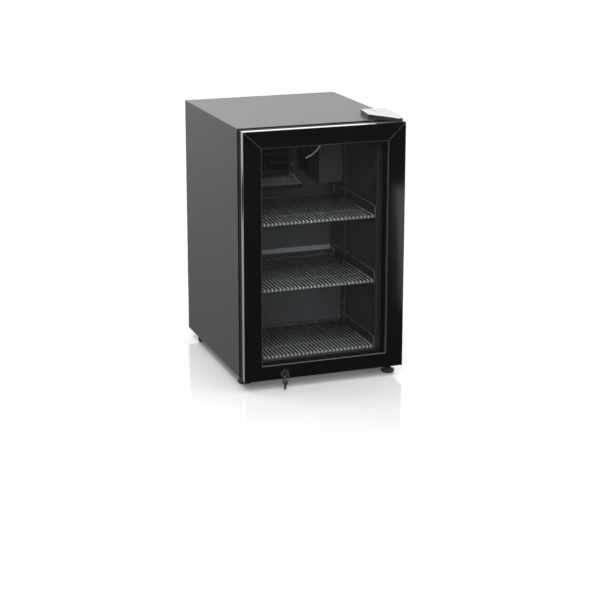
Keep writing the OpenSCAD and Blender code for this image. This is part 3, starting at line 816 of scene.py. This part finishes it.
def add_bevel(piece: bpy.types.Object, rounding: Rounding) -> None:
    """Round a piece's sharp edges with a bevel modifier.

    Args:
        piece: The object.
        rounding: The rounding that its edges get.
    """
    edge = rounding.value
    bevel = piece.modifiers.new("rounding", "BEVEL")
    bevel.width = edge.width
    bevel.segments = edge.segments
    bevel.limit_method = "ANGLE"
    bevel.angle_limit = math.radians(edge.angle)
    bevel.harden_normals = True
    bevel.use_clamp_overlap = True
    shade_smooth(piece.data)


def box_into(bm: bmesh.types.BMesh, low: Sequence[float], high: Sequence[float]) -> None:
    """Add a closed box between two corners."""
    size = [b - a for a, b in zip(low, high)]
    middle = [(a + b) / 2 for a, b in zip(low, high)]
    matrix = Matrix.Translation(middle) @ Matrix.Diagonal((*size, 1.0))
    bmesh.ops.create_cube(bm, size=1.0, matrix=matrix)


def skin_into(bm: bmesh.types.BMesh, rings: Sequence[Sequence[bmesh.types.BMVert]]) -> None:
    """Join closed rings of the same number of corners and cap both ends."""
    for near, far in zip(rings, rings[1:]):
        for k in range(len(near)):
            j = (k + 1) % len(near)
            bm.faces.new((near[k], near[j], far[j], far[k]))
    bm.faces.new(list(reversed(rings[0])))
    bm.faces.new(rings[-1])


def tube_into(bm: bmesh.types.BMesh, path: Sequence[Vector], radius: float, sides: int = 10) -> None:
    """Sweep a round tube along an open path, with no twist.

    Args:
        bm: The mesh to add to.
        path: The tube's middle line.
        radius: Its radius in metres.
        sides: Sides of its section.
    """
    steep = 0.8
    rings: list[list[bmesh.types.BMVert]] = []
    normal: Vector | None = None
    for i, point in enumerate(path):
        before = path[max(i - 1, 0)]
        after = path[min(i + 1, len(path) - 1)]
        ahead = (after - before).normalized()
        if normal is None:
            helper = Vector((0, 0, 1)) if abs(ahead.z) < steep else Vector((1, 0, 0))
            normal = ahead.cross(helper).normalized()
        normal = (normal - ahead * normal.dot(ahead)).normalized()
        other = ahead.cross(normal)
        rings.append([
            bm.verts.new(point + radius * (math.cos(a) * normal + math.sin(a) * other))
            for a in (2 * math.pi * k / sides for k in range(sides))
        ])
    skin_into(bm, rings)


def arc_points(centre: Vector, start: Vector, end: Vector, steps: int) -> list[Vector]:
    """Points along a quarter turn.

    Args:
        centre: Centre of the turn.
        start: Arm from the centre to the turn's first point.
        end: Arm from the centre to its last point.
        steps: Number of steps.

    Returns:
        The points, first to last.
    """
    turns = (math.pi / 2 * k / steps for k in range(steps + 1))
    return [centre + start * math.cos(a) + end * math.sin(a) for a in turns]


def disc_into(bm: bmesh.types.BMesh, centre: Vector, radius: float, height: float, sides: int) -> None:
    """Add a closed upright cylinder.

    Args:
        bm: The mesh to add to.
        centre: Its middle.
        radius: Its radius.
        height: Its height.
        sides: Sides of its section.
    """
    bmesh.ops.create_cone(bm, cap_ends=True, segments=sides, radius1=radius, radius2=radius,
                          depth=height, matrix=Matrix.Translation(centre))


# ---------------------------------------------------------------------------
# Sub-assemblies
# ---------------------------------------------------------------------------


@dataclass
class Assembly:
    """A sub-assembly that dresses its frame nodes and adds its own pieces.

    Args:
        frame: The loaded frame.
    """

    frame: dict

    def smooth(self, *nodes: str) -> None:
        """Shade some frame nodes smooth."""
        for node in nodes:
            shade_smooth(self.frame["nodes"][node].data)

    def dress(self, node: str, finish: Finish, rounding: Rounding | None = None) -> bpy.types.Object:
        """Give a frame node its finish and rounded edges.

        Args:
            node: The node's name.
            finish: The finish to wear.
            rounding: The rounding of its edges, or None to leave them sharp.

        Returns:
            The node's object.
        """
        piece = self.frame["nodes"][node]
        piece.data.materials.clear()
        piece.data.materials.append(finish.material())
        if rounding:
            add_bevel(piece, rounding)
        LOG.info("dressed %s in %s", node, finish.name)
        return piece

    def place(self, piece: bpy.types.Object, body: Body, slot: str, *replaced: str) -> bpy.types.Object:
        """Make a new piece ride on a body, and stand for frame nodes.

        Args:
            piece: The new piece.
            body: The body it rides on.
            slot: The record's material slot; not used.
            *replaced: Frame nodes that it stands for.

        Returns:
            The same piece.
        """
        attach(piece, body.value)
        if replaced:
            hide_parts(*replaced)
        LOG.info("placed %s on %s", piece.name, body.value)
        return piece


@dataclass
class Cabinet(Assembly):
    """The outer shell, base, insulation, liner and everything fixed to the walls."""

    def build(self) -> None:
        """Dress the cabinet's nodes."""
        self.dress("outer_shell", Finish.SHELL, Rounding.SHELL)
        self.dress("base_pan", Finish.ZINC, Rounding.SHEET)
        self.dress("rear_panel", Finish.ZINC)
        self.dress("insulation", Finish.FOAM)
        self.dress("inner_liner", Finish.LINER)
        self.dress("front_frame", Finish.MATT, Rounding.SHEET)
        for node in ("front_pilasters", "rear_pilasters"):
            self.dress(node, Finish.UPRIGHT, Rounding.FOLD)
        self.dress("pilaster_screws", Finish.STEEL, Rounding.TURNED)
        self.dress("shelf_clips", Finish.STEEL, Rounding.SHEET)
        self.dress("light_housing", Finish.WHITE, Rounding.HOUSING)
        self.dress("light_lens", Finish.LENS, Rounding.LENS)
        self.dress("foot_insert", Finish.STEEL, Rounding.FOLD)
        self.dress("rear_feet", Finish.RUBBER, Rounding.CAP)
        self.dress("foot_left", Finish.BLACK, Rounding.TURNED)
        self.dress("foot_right", Finish.BLACK, Rounding.TURNED)


@dataclass
class Hinges(Assembly):
    """Hinge brackets, screws, cover and the keeper of the lock."""

    plug_place: tuple[float, float] = (0.170, 0.0866)
    plug_radius: float = 0.0029
    plug_dome: float = 0.0012
    plug_sink: float = 0.0016
    plug_steps: int = 4
    plug_sides: int = 24

    def build(self) -> None:
        """Dress the hinge parts."""
        self.dress("top_hinge_bracket", Finish.STEEL, Rounding.PLATE)
        self.dress("bottom_hinge_bracket", Finish.ENAMEL, Rounding.PLATE)
        self.dress("cabinet_screws", Finish.STEEL, Rounding.SCREW)
        self.dress("hinge_cover", Finish.CAP, Rounding.CAP)
        self.dress("lock_keeper", Finish.STEEL, Rounding.FOLD)
        self._plug()

    def _plug(self) -> None:
        """Close the screw hole in the cover with a small domed plug."""
        low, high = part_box("hinge_cover")
        x, back = self.plug_place
        centre = Vector((x, low.y + back, high.z - self.plug_sink))
        bm = bmesh.new()
        for k in range(self.plug_steps):
            share = k / self.plug_steps
            radius = self.plug_radius * math.sqrt(1.0 - share * share)
            step = Vector((0.0, 0.0, self.plug_dome * share))
            disc_into(bm, centre + step, radius, self.plug_dome, self.plug_sides)
        self.place(new_piece("cover_plug", bm, Finish.BLACK), Body.CABINET, "black_plastic")


@dataclass
class CoolingUnit(Assembly):
    """The evaporator, its fan and duct inside, and the compressor and condenser outside."""

    def build(self) -> None:
        """Dress the cooling parts."""
        self.dress("evaporator_tube", Finish.COIL)
        self.dress("evaporator_fins", Finish.FIN)
        self.dress("evaporator_end_plates", Finish.ZINC, Rounding.FOLD)
        self.dress("drip_tray", Finish.TRAY)
        self.dress("fan_frame", Finish.BLACK, Rounding.MOULDED)
        self.dress("fan_blades", Finish.FAN, Rounding.PLATE)
        self.dress("duct_cover", Finish.LINER, Rounding.SHEET)
        self.dress("sensor_lead", Finish.WHITE)
        self.dress("compressor", Finish.ENAMEL, Rounding.PRESSED)
        self.dress("compressor_plate", Finish.ENAMEL, Rounding.LENS)
        self.dress("compressor_grommets", Finish.RUBBER, Rounding.LENS)
        self.dress("terminal_cover", Finish.BLACK, Rounding.COVER)
        self.dress("condenser_tube", Finish.ENAMEL)
        self.dress("condenser_wires", Finish.ENAMEL)
        self.dress("condenser_brackets", Finish.ZINC, Rounding.SHEET)
        self.dress("filter_drier", Finish.COPPER, Rounding.DRAWN)
        self.dress("discharge_pipe", Finish.COPPER)
        self.dress("rear_grille", Finish.ENAMEL, Rounding.FOLD)
        self.dress("cord_gland", Finish.RUBBER, Rounding.TURNED)
        self.dress("thermostat_knob", Finish.BLACK, Rounding.KNOB)
        self.dress("light_switch", Finish.BLACK, Rounding.CAP)
        self.smooth("evaporator_tube", "condenser_tube", "sensor_lead", "discharge_pipe")


@dataclass
class Door(Assembly):
    """The door's frame, trim, gasket and grip."""

    def build(self) -> None:
        """Dress the door's nodes."""
        for node in ("top_rail", "bottom_rail", "left_stile", "right_stile"):
            self.dress(node, Finish.FRAME, Rounding.PROFILE)
        self.dress("edge_trim", Finish.TRIM, Rounding.PLATE)
        self.dress("inner_door_frame", Finish.MATT, Rounding.MOULDED)
        self.dress("door_gasket", Finish.GASKET, Rounding.GASKET)
        self.dress("grip_cup", Finish.MATT, Rounding.SHEET)
        self.dress("hinge_bushes", Finish.WHITE, Rounding.SHEET)


@dataclass
class LedgeSheet(Assembly):
    """A pale flat sheet that covers the top of the ledge over the compressor."""

    slope_foot: tuple[float, float] = (0.09525, 0.215)
    slope_top: tuple[float, float] = (0.18125, 0.253)
    depth: float = 0.020
    thick: float = 0.0005
    lift: float = 0.0002
    top_gap: float = 0.0004
    side_gap: float = 0.004

    def build(self) -> None:
        """Make the sheet on the upper part of the ledge's slope."""
        low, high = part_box("inner_liner")
        foot, top = Vector((0.0, *self.slope_foot)), Vector((0.0, *self.slope_top))
        along = (foot - top).normalized()
        out = Vector((0.0, along.z, -along.y))
        if out.z < 0:
            out = -out
        start = top + along * self.top_gap + out * self.lift
        end = start + along * self.depth
        half = min(abs(low.x), abs(high.x)) - self.side_gap
        section = (start, end, end + out * self.thick, start + out * self.thick)
        bm = bmesh.new()
        skin_into(bm, [[bm.verts.new(Vector((x, 0.0, 0.0)) + p) for p in section] for x in (-half, half)])
        piece = new_piece("ledge_sheet", bm, Finish.LEDGE, smooth=False)
        self.place(piece, Body.CABINET, "liner_metal")


@dataclass
class HingeShadePlate(Assembly):
    """A thin black plate, a painted shadow: it darkens the trim where the door turns under the hinge cover,
    in the cover's shade.
    """

    thick: float = 0.0005
    lift: float = 0.00005
    lip: float = 0.0022
    depth: float = 0.0162

    def build(self) -> None:
        """Lay the plate on the hinge end of the door's top edge."""
        door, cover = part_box("right_stile"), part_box("hinge_cover")
        low = Vector((cover[0].x, door[0].y + self.lip, door[1].z + self.lift))
        high = Vector((door[1].x - self.thick, door[0].y + self.lip + self.depth, low.z + self.thick))
        bm = bmesh.new()
        box_into(bm, low, high)
        # Painted shadow: black where the hinge cover shades the trim.
        piece = new_piece("hinge_shade_plate", bm, Finish.BLACK, smooth=False)
        self.place(piece, Body.DOOR, "black_plastic")


@dataclass
class GlazingBead(Assembly):
    """A thin grey bead that lines the reveal of the window."""

    thick: float = 0.0005
    reveal: float = 0.0036
    inset: float = 0.0003

    def build(self) -> None:
        """Line the four sides of the window's reveal."""
        left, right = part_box("left_stile"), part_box("right_stile")
        top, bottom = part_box("top_rail"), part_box("bottom_rail")
        near = left[0].y + self.inset
        far = near + self.reveal
        x0, x1, z0, z1 = left[1].x, right[0].x, bottom[1].z, top[0].z
        bm = bmesh.new()
        box_into(bm, (x0, near, z0), (x0 + self.thick, far, z1))
        box_into(bm, (x1 - self.thick, near, z0), (x1, far, z1))
        box_into(bm, (x0 + self.thick, near, z0), (x1 - self.thick, far, z0 + self.thick))
        box_into(bm, (x0 + self.thick, near, z1 - self.thick), (x1 - self.thick, far, z1))
        piece = new_piece("glazing_bead", bm, Finish.BEAD, smooth=False)
        self.place(piece, Body.DOOR, "black_plastic")


@dataclass
class FootBoots(Assembly):
    """The soft rubber boots round the discs of the two front feet."""

    radius: float = 0.0178
    height: float = 0.0075
    round: float = 0.0016
    lift: float = 0.0002
    mouth: float = 0.72
    steps: int = 5
    sides: int = 48

    def build(self) -> None:
        """Make one boot on each screwed foot."""
        for node, body in (("foot_left", Body.LEFT_FOOT), ("foot_right", Body.RIGHT_FOOT)):
            low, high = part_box(node)
            middle = (low + high) / 2
            bm = bmesh.new()
            rings = []
            for radius, rise in self._profile():
                turns = (2 * math.pi * i / self.sides for i in range(self.sides))
                rings.append([
                    bm.verts.new((middle.x + radius * math.cos(turn), middle.y + radius * math.sin(turn),
                                  low.z + rise))
                    for turn in turns
                ])
            skin_into(bm, rings)
            self.place(new_piece(node + "_boot", bm, Finish.RUBBER), body, "rubber")

    def _profile(self) -> list[tuple[float, float]]:
        """The boot's outline from its foot to its mouth, as radius and height."""
        profile = [(self.radius - self.round, self.lift)]
        for k in range(self.steps + 1):
            turn = math.pi / 2 * k / self.steps
            rise = self.height - self.round + self.round * math.sin(turn)
            profile.append((self.radius - self.round * (1.0 - math.cos(turn)), rise))
        return [*profile, (self.radius * self.mouth, self.height)]


@dataclass
class MitreLines(Assembly):
    """Lighter lines where the door's members meet: partly the joints, partly a painted highlight on the
    upper mitres, which catch the light.
    """

    width: float = 0.0008
    proud: float = 0.0001

    def build(self) -> None:
        """Lay one thin line along each of the two upper mitres, which are lit; the lower ones, in shade, get
        none.
        """
        left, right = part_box("left_stile"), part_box("right_stile")
        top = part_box("top_rail")
        front = left[0].y
        ends = []
        inset = self.width
        for x_out, x_in in ((left[0].x + inset, left[1].x), (right[1].x - inset, right[0].x)):
            ends.append((Vector((x_out, front, top[1].z - inset)), Vector((x_in, front, top[0].z))))
        bm = bmesh.new()
        for outer, inner in ends:
            along = (inner - outer).normalized()
            across = Vector((along.z, 0.0, -along.x)) * (self.width / 2)
            forward = Vector((0.0, -self.proud, 0.0))
            back = Vector((0.0, self.proud, 0.0))
            base = [bm.verts.new(p + back + s * across) for p in (outer, inner) for s in (-1, 1)]
            face = [bm.verts.new(p + forward + s * across) for p in (outer, inner) for s in (-1, 1)]
            order = (0, 1, 3, 2)
            bm.faces.new([base[i] for i in order])
            bm.faces.new([face[i] for i in reversed(order)])
            for i, j in zip(order, order[1:] + order[:1]):
                bm.faces.new((base[i], base[j], face[j], face[i]))
        piece = new_piece("mitre_joint_highlights", bm, Finish.MITRE, smooth=False)
        self.place(piece, Body.DOOR, "anodised_aluminium")


@dataclass
class InsulatedGlass(Assembly):
    """Two panes held apart by a spacer bar with sealed corners."""

    pane: float = 0.004
    spacer: float = 0.008

    def build(self) -> None:
        """Make the panes and the spacer in place of the simple glass block."""
        low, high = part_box("glass_unit")
        front, back = low.y, high.y
        outer = bmesh.new()
        box_into(outer, (low.x, front, low.z), (high.x, front + self.pane, high.z))
        pane = new_piece("outer_pane", outer, Finish.OUTER_PANE, smooth=False)
        inner = bmesh.new()
        box_into(inner, (low.x, back - self.pane, low.z), (high.x, back, high.z))
        behind = new_piece("inner_pane", inner, Finish.INNER_PANE, smooth=False)
        for glass in (pane, behind):
            glass.visible_shadow = False
            add_bevel(glass, Rounding.SHEET)
        self.place(pane, Body.DOOR, "glass", "glass_unit")
        self.place(behind, Body.DOOR, "glass")
        bars = bmesh.new()
        y_low, y_high = front + self.pane, back - self.pane
        s = self.spacer
        box_into(bars, (low.x, y_low, low.z), (high.x, y_high, low.z + s))
        box_into(bars, (low.x, y_low, high.z - s), (high.x, y_high, high.z))
        box_into(bars, (low.x, y_low, low.z + s), (low.x + s, y_high, high.z - s))
        box_into(bars, (high.x - s, y_low, low.z + s), (high.x, y_high, high.z - s))
        frame = new_piece("glass_spacer", bars, Finish.SPACER, smooth=False)
        self.place(frame, Body.DOOR, "anodised_aluminium")


@dataclass
class LockSet(Assembly):
    """The lock, its keys and the split ring."""

    def build(self) -> None:
        """Dress the lock."""
        self.dress("lock_body", Finish.CHROME, Rounding.TURNED)
        self.dress("lock_plug", Finish.CHROME, Rounding.FOLD)
        self.dress("door_key", Finish.KEY, Rounding.KEY)
        self.dress("spare_key", Finish.KEY, Rounding.KEY)
        self.dress("key_ring", Finish.CHROME)
        self.smooth("key_ring")


@dataclass
class WireShelf(Assembly):
    """A shelf of round wires whose ends bend down over two front wires."""

    node: str
    body: Body
    wires: int = 31
    thin: float = 0.0015
    thick: float = 0.0021
    guard_wire: float = 0.0016
    bend: float = 0.0035
    drop: float = 0.009
    guard_bend: float = 0.010
    side_gap: float = 0.008
    weld: float = 0.0003
    foot_gap: float = 0.0006
    front_rail: float = 0.0046
    foot_rail: float = 0.0034
    middle_rail: float = 0.082
    rear_rail: float = 0.003
    side_ends: tuple[float, float] = (0.0025, 0.001)
    guard_ends: tuple[float, float] = (0.004, 0.002)
    bend_steps: int = 5

    def build(self) -> None:
        """Make the shelf within its frame node's box."""
        low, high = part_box(self.node)
        side = high.x - self.thick
        deck = low.z + self.drop
        pitch = 2 * (side - self.side_gap) / (self.wires - 1)
        bm = bmesh.new()
        for i in range(self.wires):
            x = (i - (self.wires - 1) / 2) * pitch
            tube_into(bm, self._deck_path(x, low.y, high.y, deck, low.z), self.thin, 8)
        piece = new_piece(self.node + "_wires", bm, Finish.WIRE)
        self.place(piece, self.body, "shelf_coating", self.node)
        self._rails(low, high, side, deck)

    def _rails(self, low: Vector, high: Vector, side: float, deck: float) -> None:
        """Make the thick wires under the deck and the two side guards.

        Args:
            low: Low corner of the shelf's box.
            high: High corner of the shelf's box.
            side: Distance of the side wires from the middle.
            deck: Height of the deck's upper face.
        """
        under = deck - 2 * self.thin - self.thick + self.weld
        rails = bmesh.new()
        for y, z in (
            (low.y + self.front_rail, under),
            (low.y + self.foot_rail, low.z + self.thick),
            (low.y + self.middle_rail, under),
            (high.y - self.rear_rail, under),
        ):
            self._rod(rails, (-side, y, z), (side, y, z))
        front, back = low.y + self.side_ends[0], high.y - self.side_ends[1]
        for x in (-side, side):
            self._rod(rails, (x, front, under), (x, back, under))
            self._guard(rails, x, low.y + self.guard_ends[0], high.y - self.guard_ends[1], under,
                        high.z - self.guard_wire)
        # The rails wear the darker copy of the wire coating: painted shade.
        self.place(new_piece(self.node + "_rails", rails, Finish.SHADED_RAIL), self.body, "shelf_coating")

    def _deck_path(self, x: float, front: float, back: float, deck: float, foot: float) -> list[Vector]:
        """The middle line of one deck wire, from its foot up and back.

        Args:
            x: Where the wire runs.
            front: The shelf's front.
            back: The shelf's back.
            deck: Height of the deck's upper face.
            foot: Height of the wire's foot.

        Returns:
            The points of the line.
        """
        r = self.thin
        start = Vector((x, front + r, foot + self.foot_gap))
        centre = Vector((x, front + r + self.bend, deck - r - self.bend))
        forward, up = Vector((0, -self.bend, 0)), Vector((0, 0, self.bend))
        turn = arc_points(centre, forward, up, self.bend_steps)
        return [start, *turn, Vector((x, back, deck - r))]

    def _rod(self, bm: bmesh.types.BMesh, start: Sequence[float], end: Sequence[float]) -> None:
        """Add one straight thick wire between two points."""
        tube_into(bm, [Vector(start), Vector(end)], self.thick, 12)

    def _guard(self, bm: bmesh.types.BMesh, x: float, front: float, back: float, low: float,
               top: float) -> None:
        """Add one side guard: a wire that rises, bends back and drops again.

        Args:
            bm: The mesh to add to.
            x: Where the guard runs.
            front: Its front leg.
            back: Its back leg.
            low: Height of its ends.
            top: Height of its upper wire.
        """
        bend = self.guard_bend
        forward, up, rear = Vector((0, -bend, 0)), Vector((0, 0, bend)), Vector((0, bend, 0))
        rise = arc_points(Vector((x, front + bend, top - bend)), forward, up, self.bend_steps)
        fall = arc_points(Vector((x, back - bend, top - bend)), up, rear, self.bend_steps)
        path = [Vector((x, front, low)), *rise, *fall, Vector((x, back, low))]
        tube_into(bm, path, self.guard_wire, 10)


# ---------------------------------------------------------------------------
# Stage
# ---------------------------------------------------------------------------


@dataclass
class Studio:
    """The floor, the world, the lights and the camera.

    The light isn't physical: most of it is hidden from some kinds of ray, so that the closed door's dark
    glass and the trim mirror only what each method says.

    Args:
        front: The depth of the cabinet's front plane in the frame.
        stile: The only piece that the strip lights.
    """

    front: float
    stile: bpy.types.Object
    standoff: tuple[float, float, float] = (-1.400, -3.724, 1.378)
    yaw: float = math.radians(19.73)
    pitch: float = math.radians(14.26)
    lens: float = 98.8
    shift: float = -0.0917
    ambient: float = 0.26
    backdrop: float = 1.0
    front_gloss: float = 0.2
    back_gloss: float = 1.45
    low_gloss: float = 0.14
    sheen_reach: float = 0.85
    strip_place: tuple[float, float, float] = (0.3555, -0.55, 0.256)
    strip_size: tuple[float, float] = (0.04, 0.35)
    strip_lean: float = math.radians(-4.4)
    strip_power: float = 0.11

    def build(self) -> None:
        """Make the floor, the world, the lights and the camera."""
        self._floor()
        self._world()
        self._camera()
        self._sun("overhead_sun", towards=(0.15, -0.25, 1.0), strength=2.3, spread=70.0)
        self._sun("front_sun", towards=(-0.22, -1.0, 0.34), strength=2.5, spread=50.0)
        self._strip()
        self._softbox("side_box", place=(-0.75, 0.2, 1.15), aim=(-0.2, 0.0, 0.6), size=0.5, power=5.0)

    def _floor(self) -> None:
        """A broad pale floor with a sheen that fades outwards; no other piece sees it."""
        bm = bmesh.new()
        bmesh.ops.create_grid(bm, x_segments=1, y_segments=1, size=25.0)
        mesh = bpy.data.meshes.new("floor")
        bm.to_mesh(mesh)
        bm.free()
        floor = new_object("floor", mesh)
        floor.visible_glossy = False
        floor.visible_diffuse = False
        floor.visible_transmission = False
        surface = Surface("pale_floor")
        surface.plain("Base Color", (0.86, 0.86, 0.87, 1))
        surface.plain("Roughness", 0.1)
        coords = surface.node("ShaderNodeTexCoord")
        length = surface.node("ShaderNodeVectorMath", operation="LENGTH")
        surface.link(coords.outputs["Object"], length.inputs[0])
        fade = surface.remap(length.outputs["Value"], From_Min=0.2, From_Max=self.sheen_reach,
                             To_Min=1.0, To_Max=0.0)
        surface.feed(fade, "Specular IOR Level")
        mesh.materials.append(surface.material)

    def _world(self) -> None:
        """A white backdrop that lights dimly and is mirrored bright behind and dim in front and below."""
        world = bpy.data.worlds.new("studio")
        bpy.context.scene.world = world
        world.use_nodes = True
        graph = Graph(world.node_tree)
        back = graph.tree.nodes["Background"]
        back.inputs["Color"].default_value = (1, 1, 1, 1)
        coords = graph.node("ShaderNodeTexCoord")
        split = graph.node("ShaderNodeSeparateXYZ")
        graph.link(coords.outputs["Generated"], split.inputs[0])
        gloss = graph.remap(split.outputs["Y"], From_Min=-0.7, From_Max=0.8,
                            To_Min=self.front_gloss, To_Max=self.back_gloss)
        height = graph.remap(split.outputs["Z"], From_Min=-0.3, From_Max=0.3, To_Min=self.low_gloss)
        sky = graph.math("MULTIPLY", gloss, height)
        rays = graph.node("ShaderNodeLightPath")
        lit = graph.blend(rays.outputs["Diffuse Depth"], sky, self.ambient)
        bounces = graph.math("ADD", rays.outputs["Diffuse Depth"], rays.outputs["Glossy Depth"])
        seen = graph.blend(bounces, self.backdrop, lit)
        graph.link(seen, back.inputs["Strength"])
        bpy.context.scene.view_settings.view_transform = "Standard"

    def _camera(self) -> None:
        """The camera, at the height and angle of someone who stands to the left of the front."""
        data = bpy.data.cameras.new("camera")
        data.lens = self.lens
        data.sensor_width = 36.0
        data.shift_y = self.shift
        data.dof.use_dof = False
        camera = new_object("camera", data)
        x, y, z = self.standoff
        camera.location = (x, y + self.front, z)
        camera.rotation_euler = (math.pi / 2 - self.pitch, 0.0, -self.yaw)
        bpy.context.scene.camera = camera

    def _strip(self) -> None:
        """A narrow dim strip that only the right stile of the door reflects."""
        data = bpy.data.lights.new("strip_box", "AREA")
        data.shape = "RECTANGLE"
        data.size, data.size_y = self.strip_size
        data.energy = self.strip_power
        strip = new_object("strip_box", data)
        strip.location = self.strip_place
        strip.rotation_euler = (math.pi / 2, self.strip_lean, 0.0)
        strip.visible_camera = False
        strip.visible_diffuse = False
        strip.visible_transmission = False
        only = bpy.data.collections.new("strip_receivers")
        only.objects.link(self.stile)
        strip.light_linking.receiver_collection = only

    def _sun(self, name: str, towards: tuple[float, float, float], strength: float, spread: float) -> None:
        """Add one broad distant light.

        Args:
            name: The light's name.
            towards: The direction that it shines from.
            strength: Its strength.
            spread: Its apparent width in degrees.
        """
        data = bpy.data.lights.new(name, "SUN")
        data.energy = strength
        data.angle = math.radians(spread)
        self._hang(name, data, Vector(towards) * 4.0, Vector((0.0, 0.0, 0.0)))

    def _softbox(self, name: str, place: tuple[float, float, float], aim: tuple[float, float, float],
                 size: float, power: float) -> None:
        """Add one square softbox.

        Args:
            name: The light's name.
            place: Where it hangs.
            aim: The point that it faces.
            size: Side of the square in metres.
            power: Its power in watts.
        """
        data = bpy.data.lights.new(name, "AREA")
        data.shape = "SQUARE"
        data.size = size
        data.energy = power
        self._hang(name, data, Vector(place), Vector(aim))

    def _hang(self, name: str, data: bpy.types.Light, place: Vector, aim: Vector) -> None:
        """Put a light in place, hidden from glossy and transmission rays.

        Args:
            name: The light's name.
            data: The light's data.
            place: Where it hangs.
            aim: The point that it faces.
        """
        light = new_object(name, data)
        light.visible_glossy = False
        light.visible_transmission = False
        light.location = place
        light.rotation_euler = (aim - place).to_track_quat("-Z", "Y").to_euler()


def main() -> None:
    """Build and dress the whole cabinet, piece by piece."""
    logging.basicConfig(level=logging.INFO, format="%(name)s: %(message)s")
    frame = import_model()
    Studio(front=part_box("outer_shell")[0].y, stile=frame["nodes"]["right_stile"]).build()
    assemblies = [
        Cabinet(frame),
        Hinges(frame),
        CoolingUnit(frame),
        Door(frame),
        GlazingBead(frame),
        FootBoots(frame),
        MitreLines(frame),
        HingeShadePlate(frame),
        LedgeSheet(frame),
        InsulatedGlass(frame),
        LockSet(frame),
        WireShelf(frame, "shelf_top", Body.TOP_SHELF),
        WireShelf(frame, "shelf_middle", Body.MIDDLE_SHELF),
        WireShelf(frame, "shelf_bottom", Body.BOTTOM_SHELF),
    ]
    for assembly in assemblies:
        assembly.build()


if __name__ == "__main__":
    main()
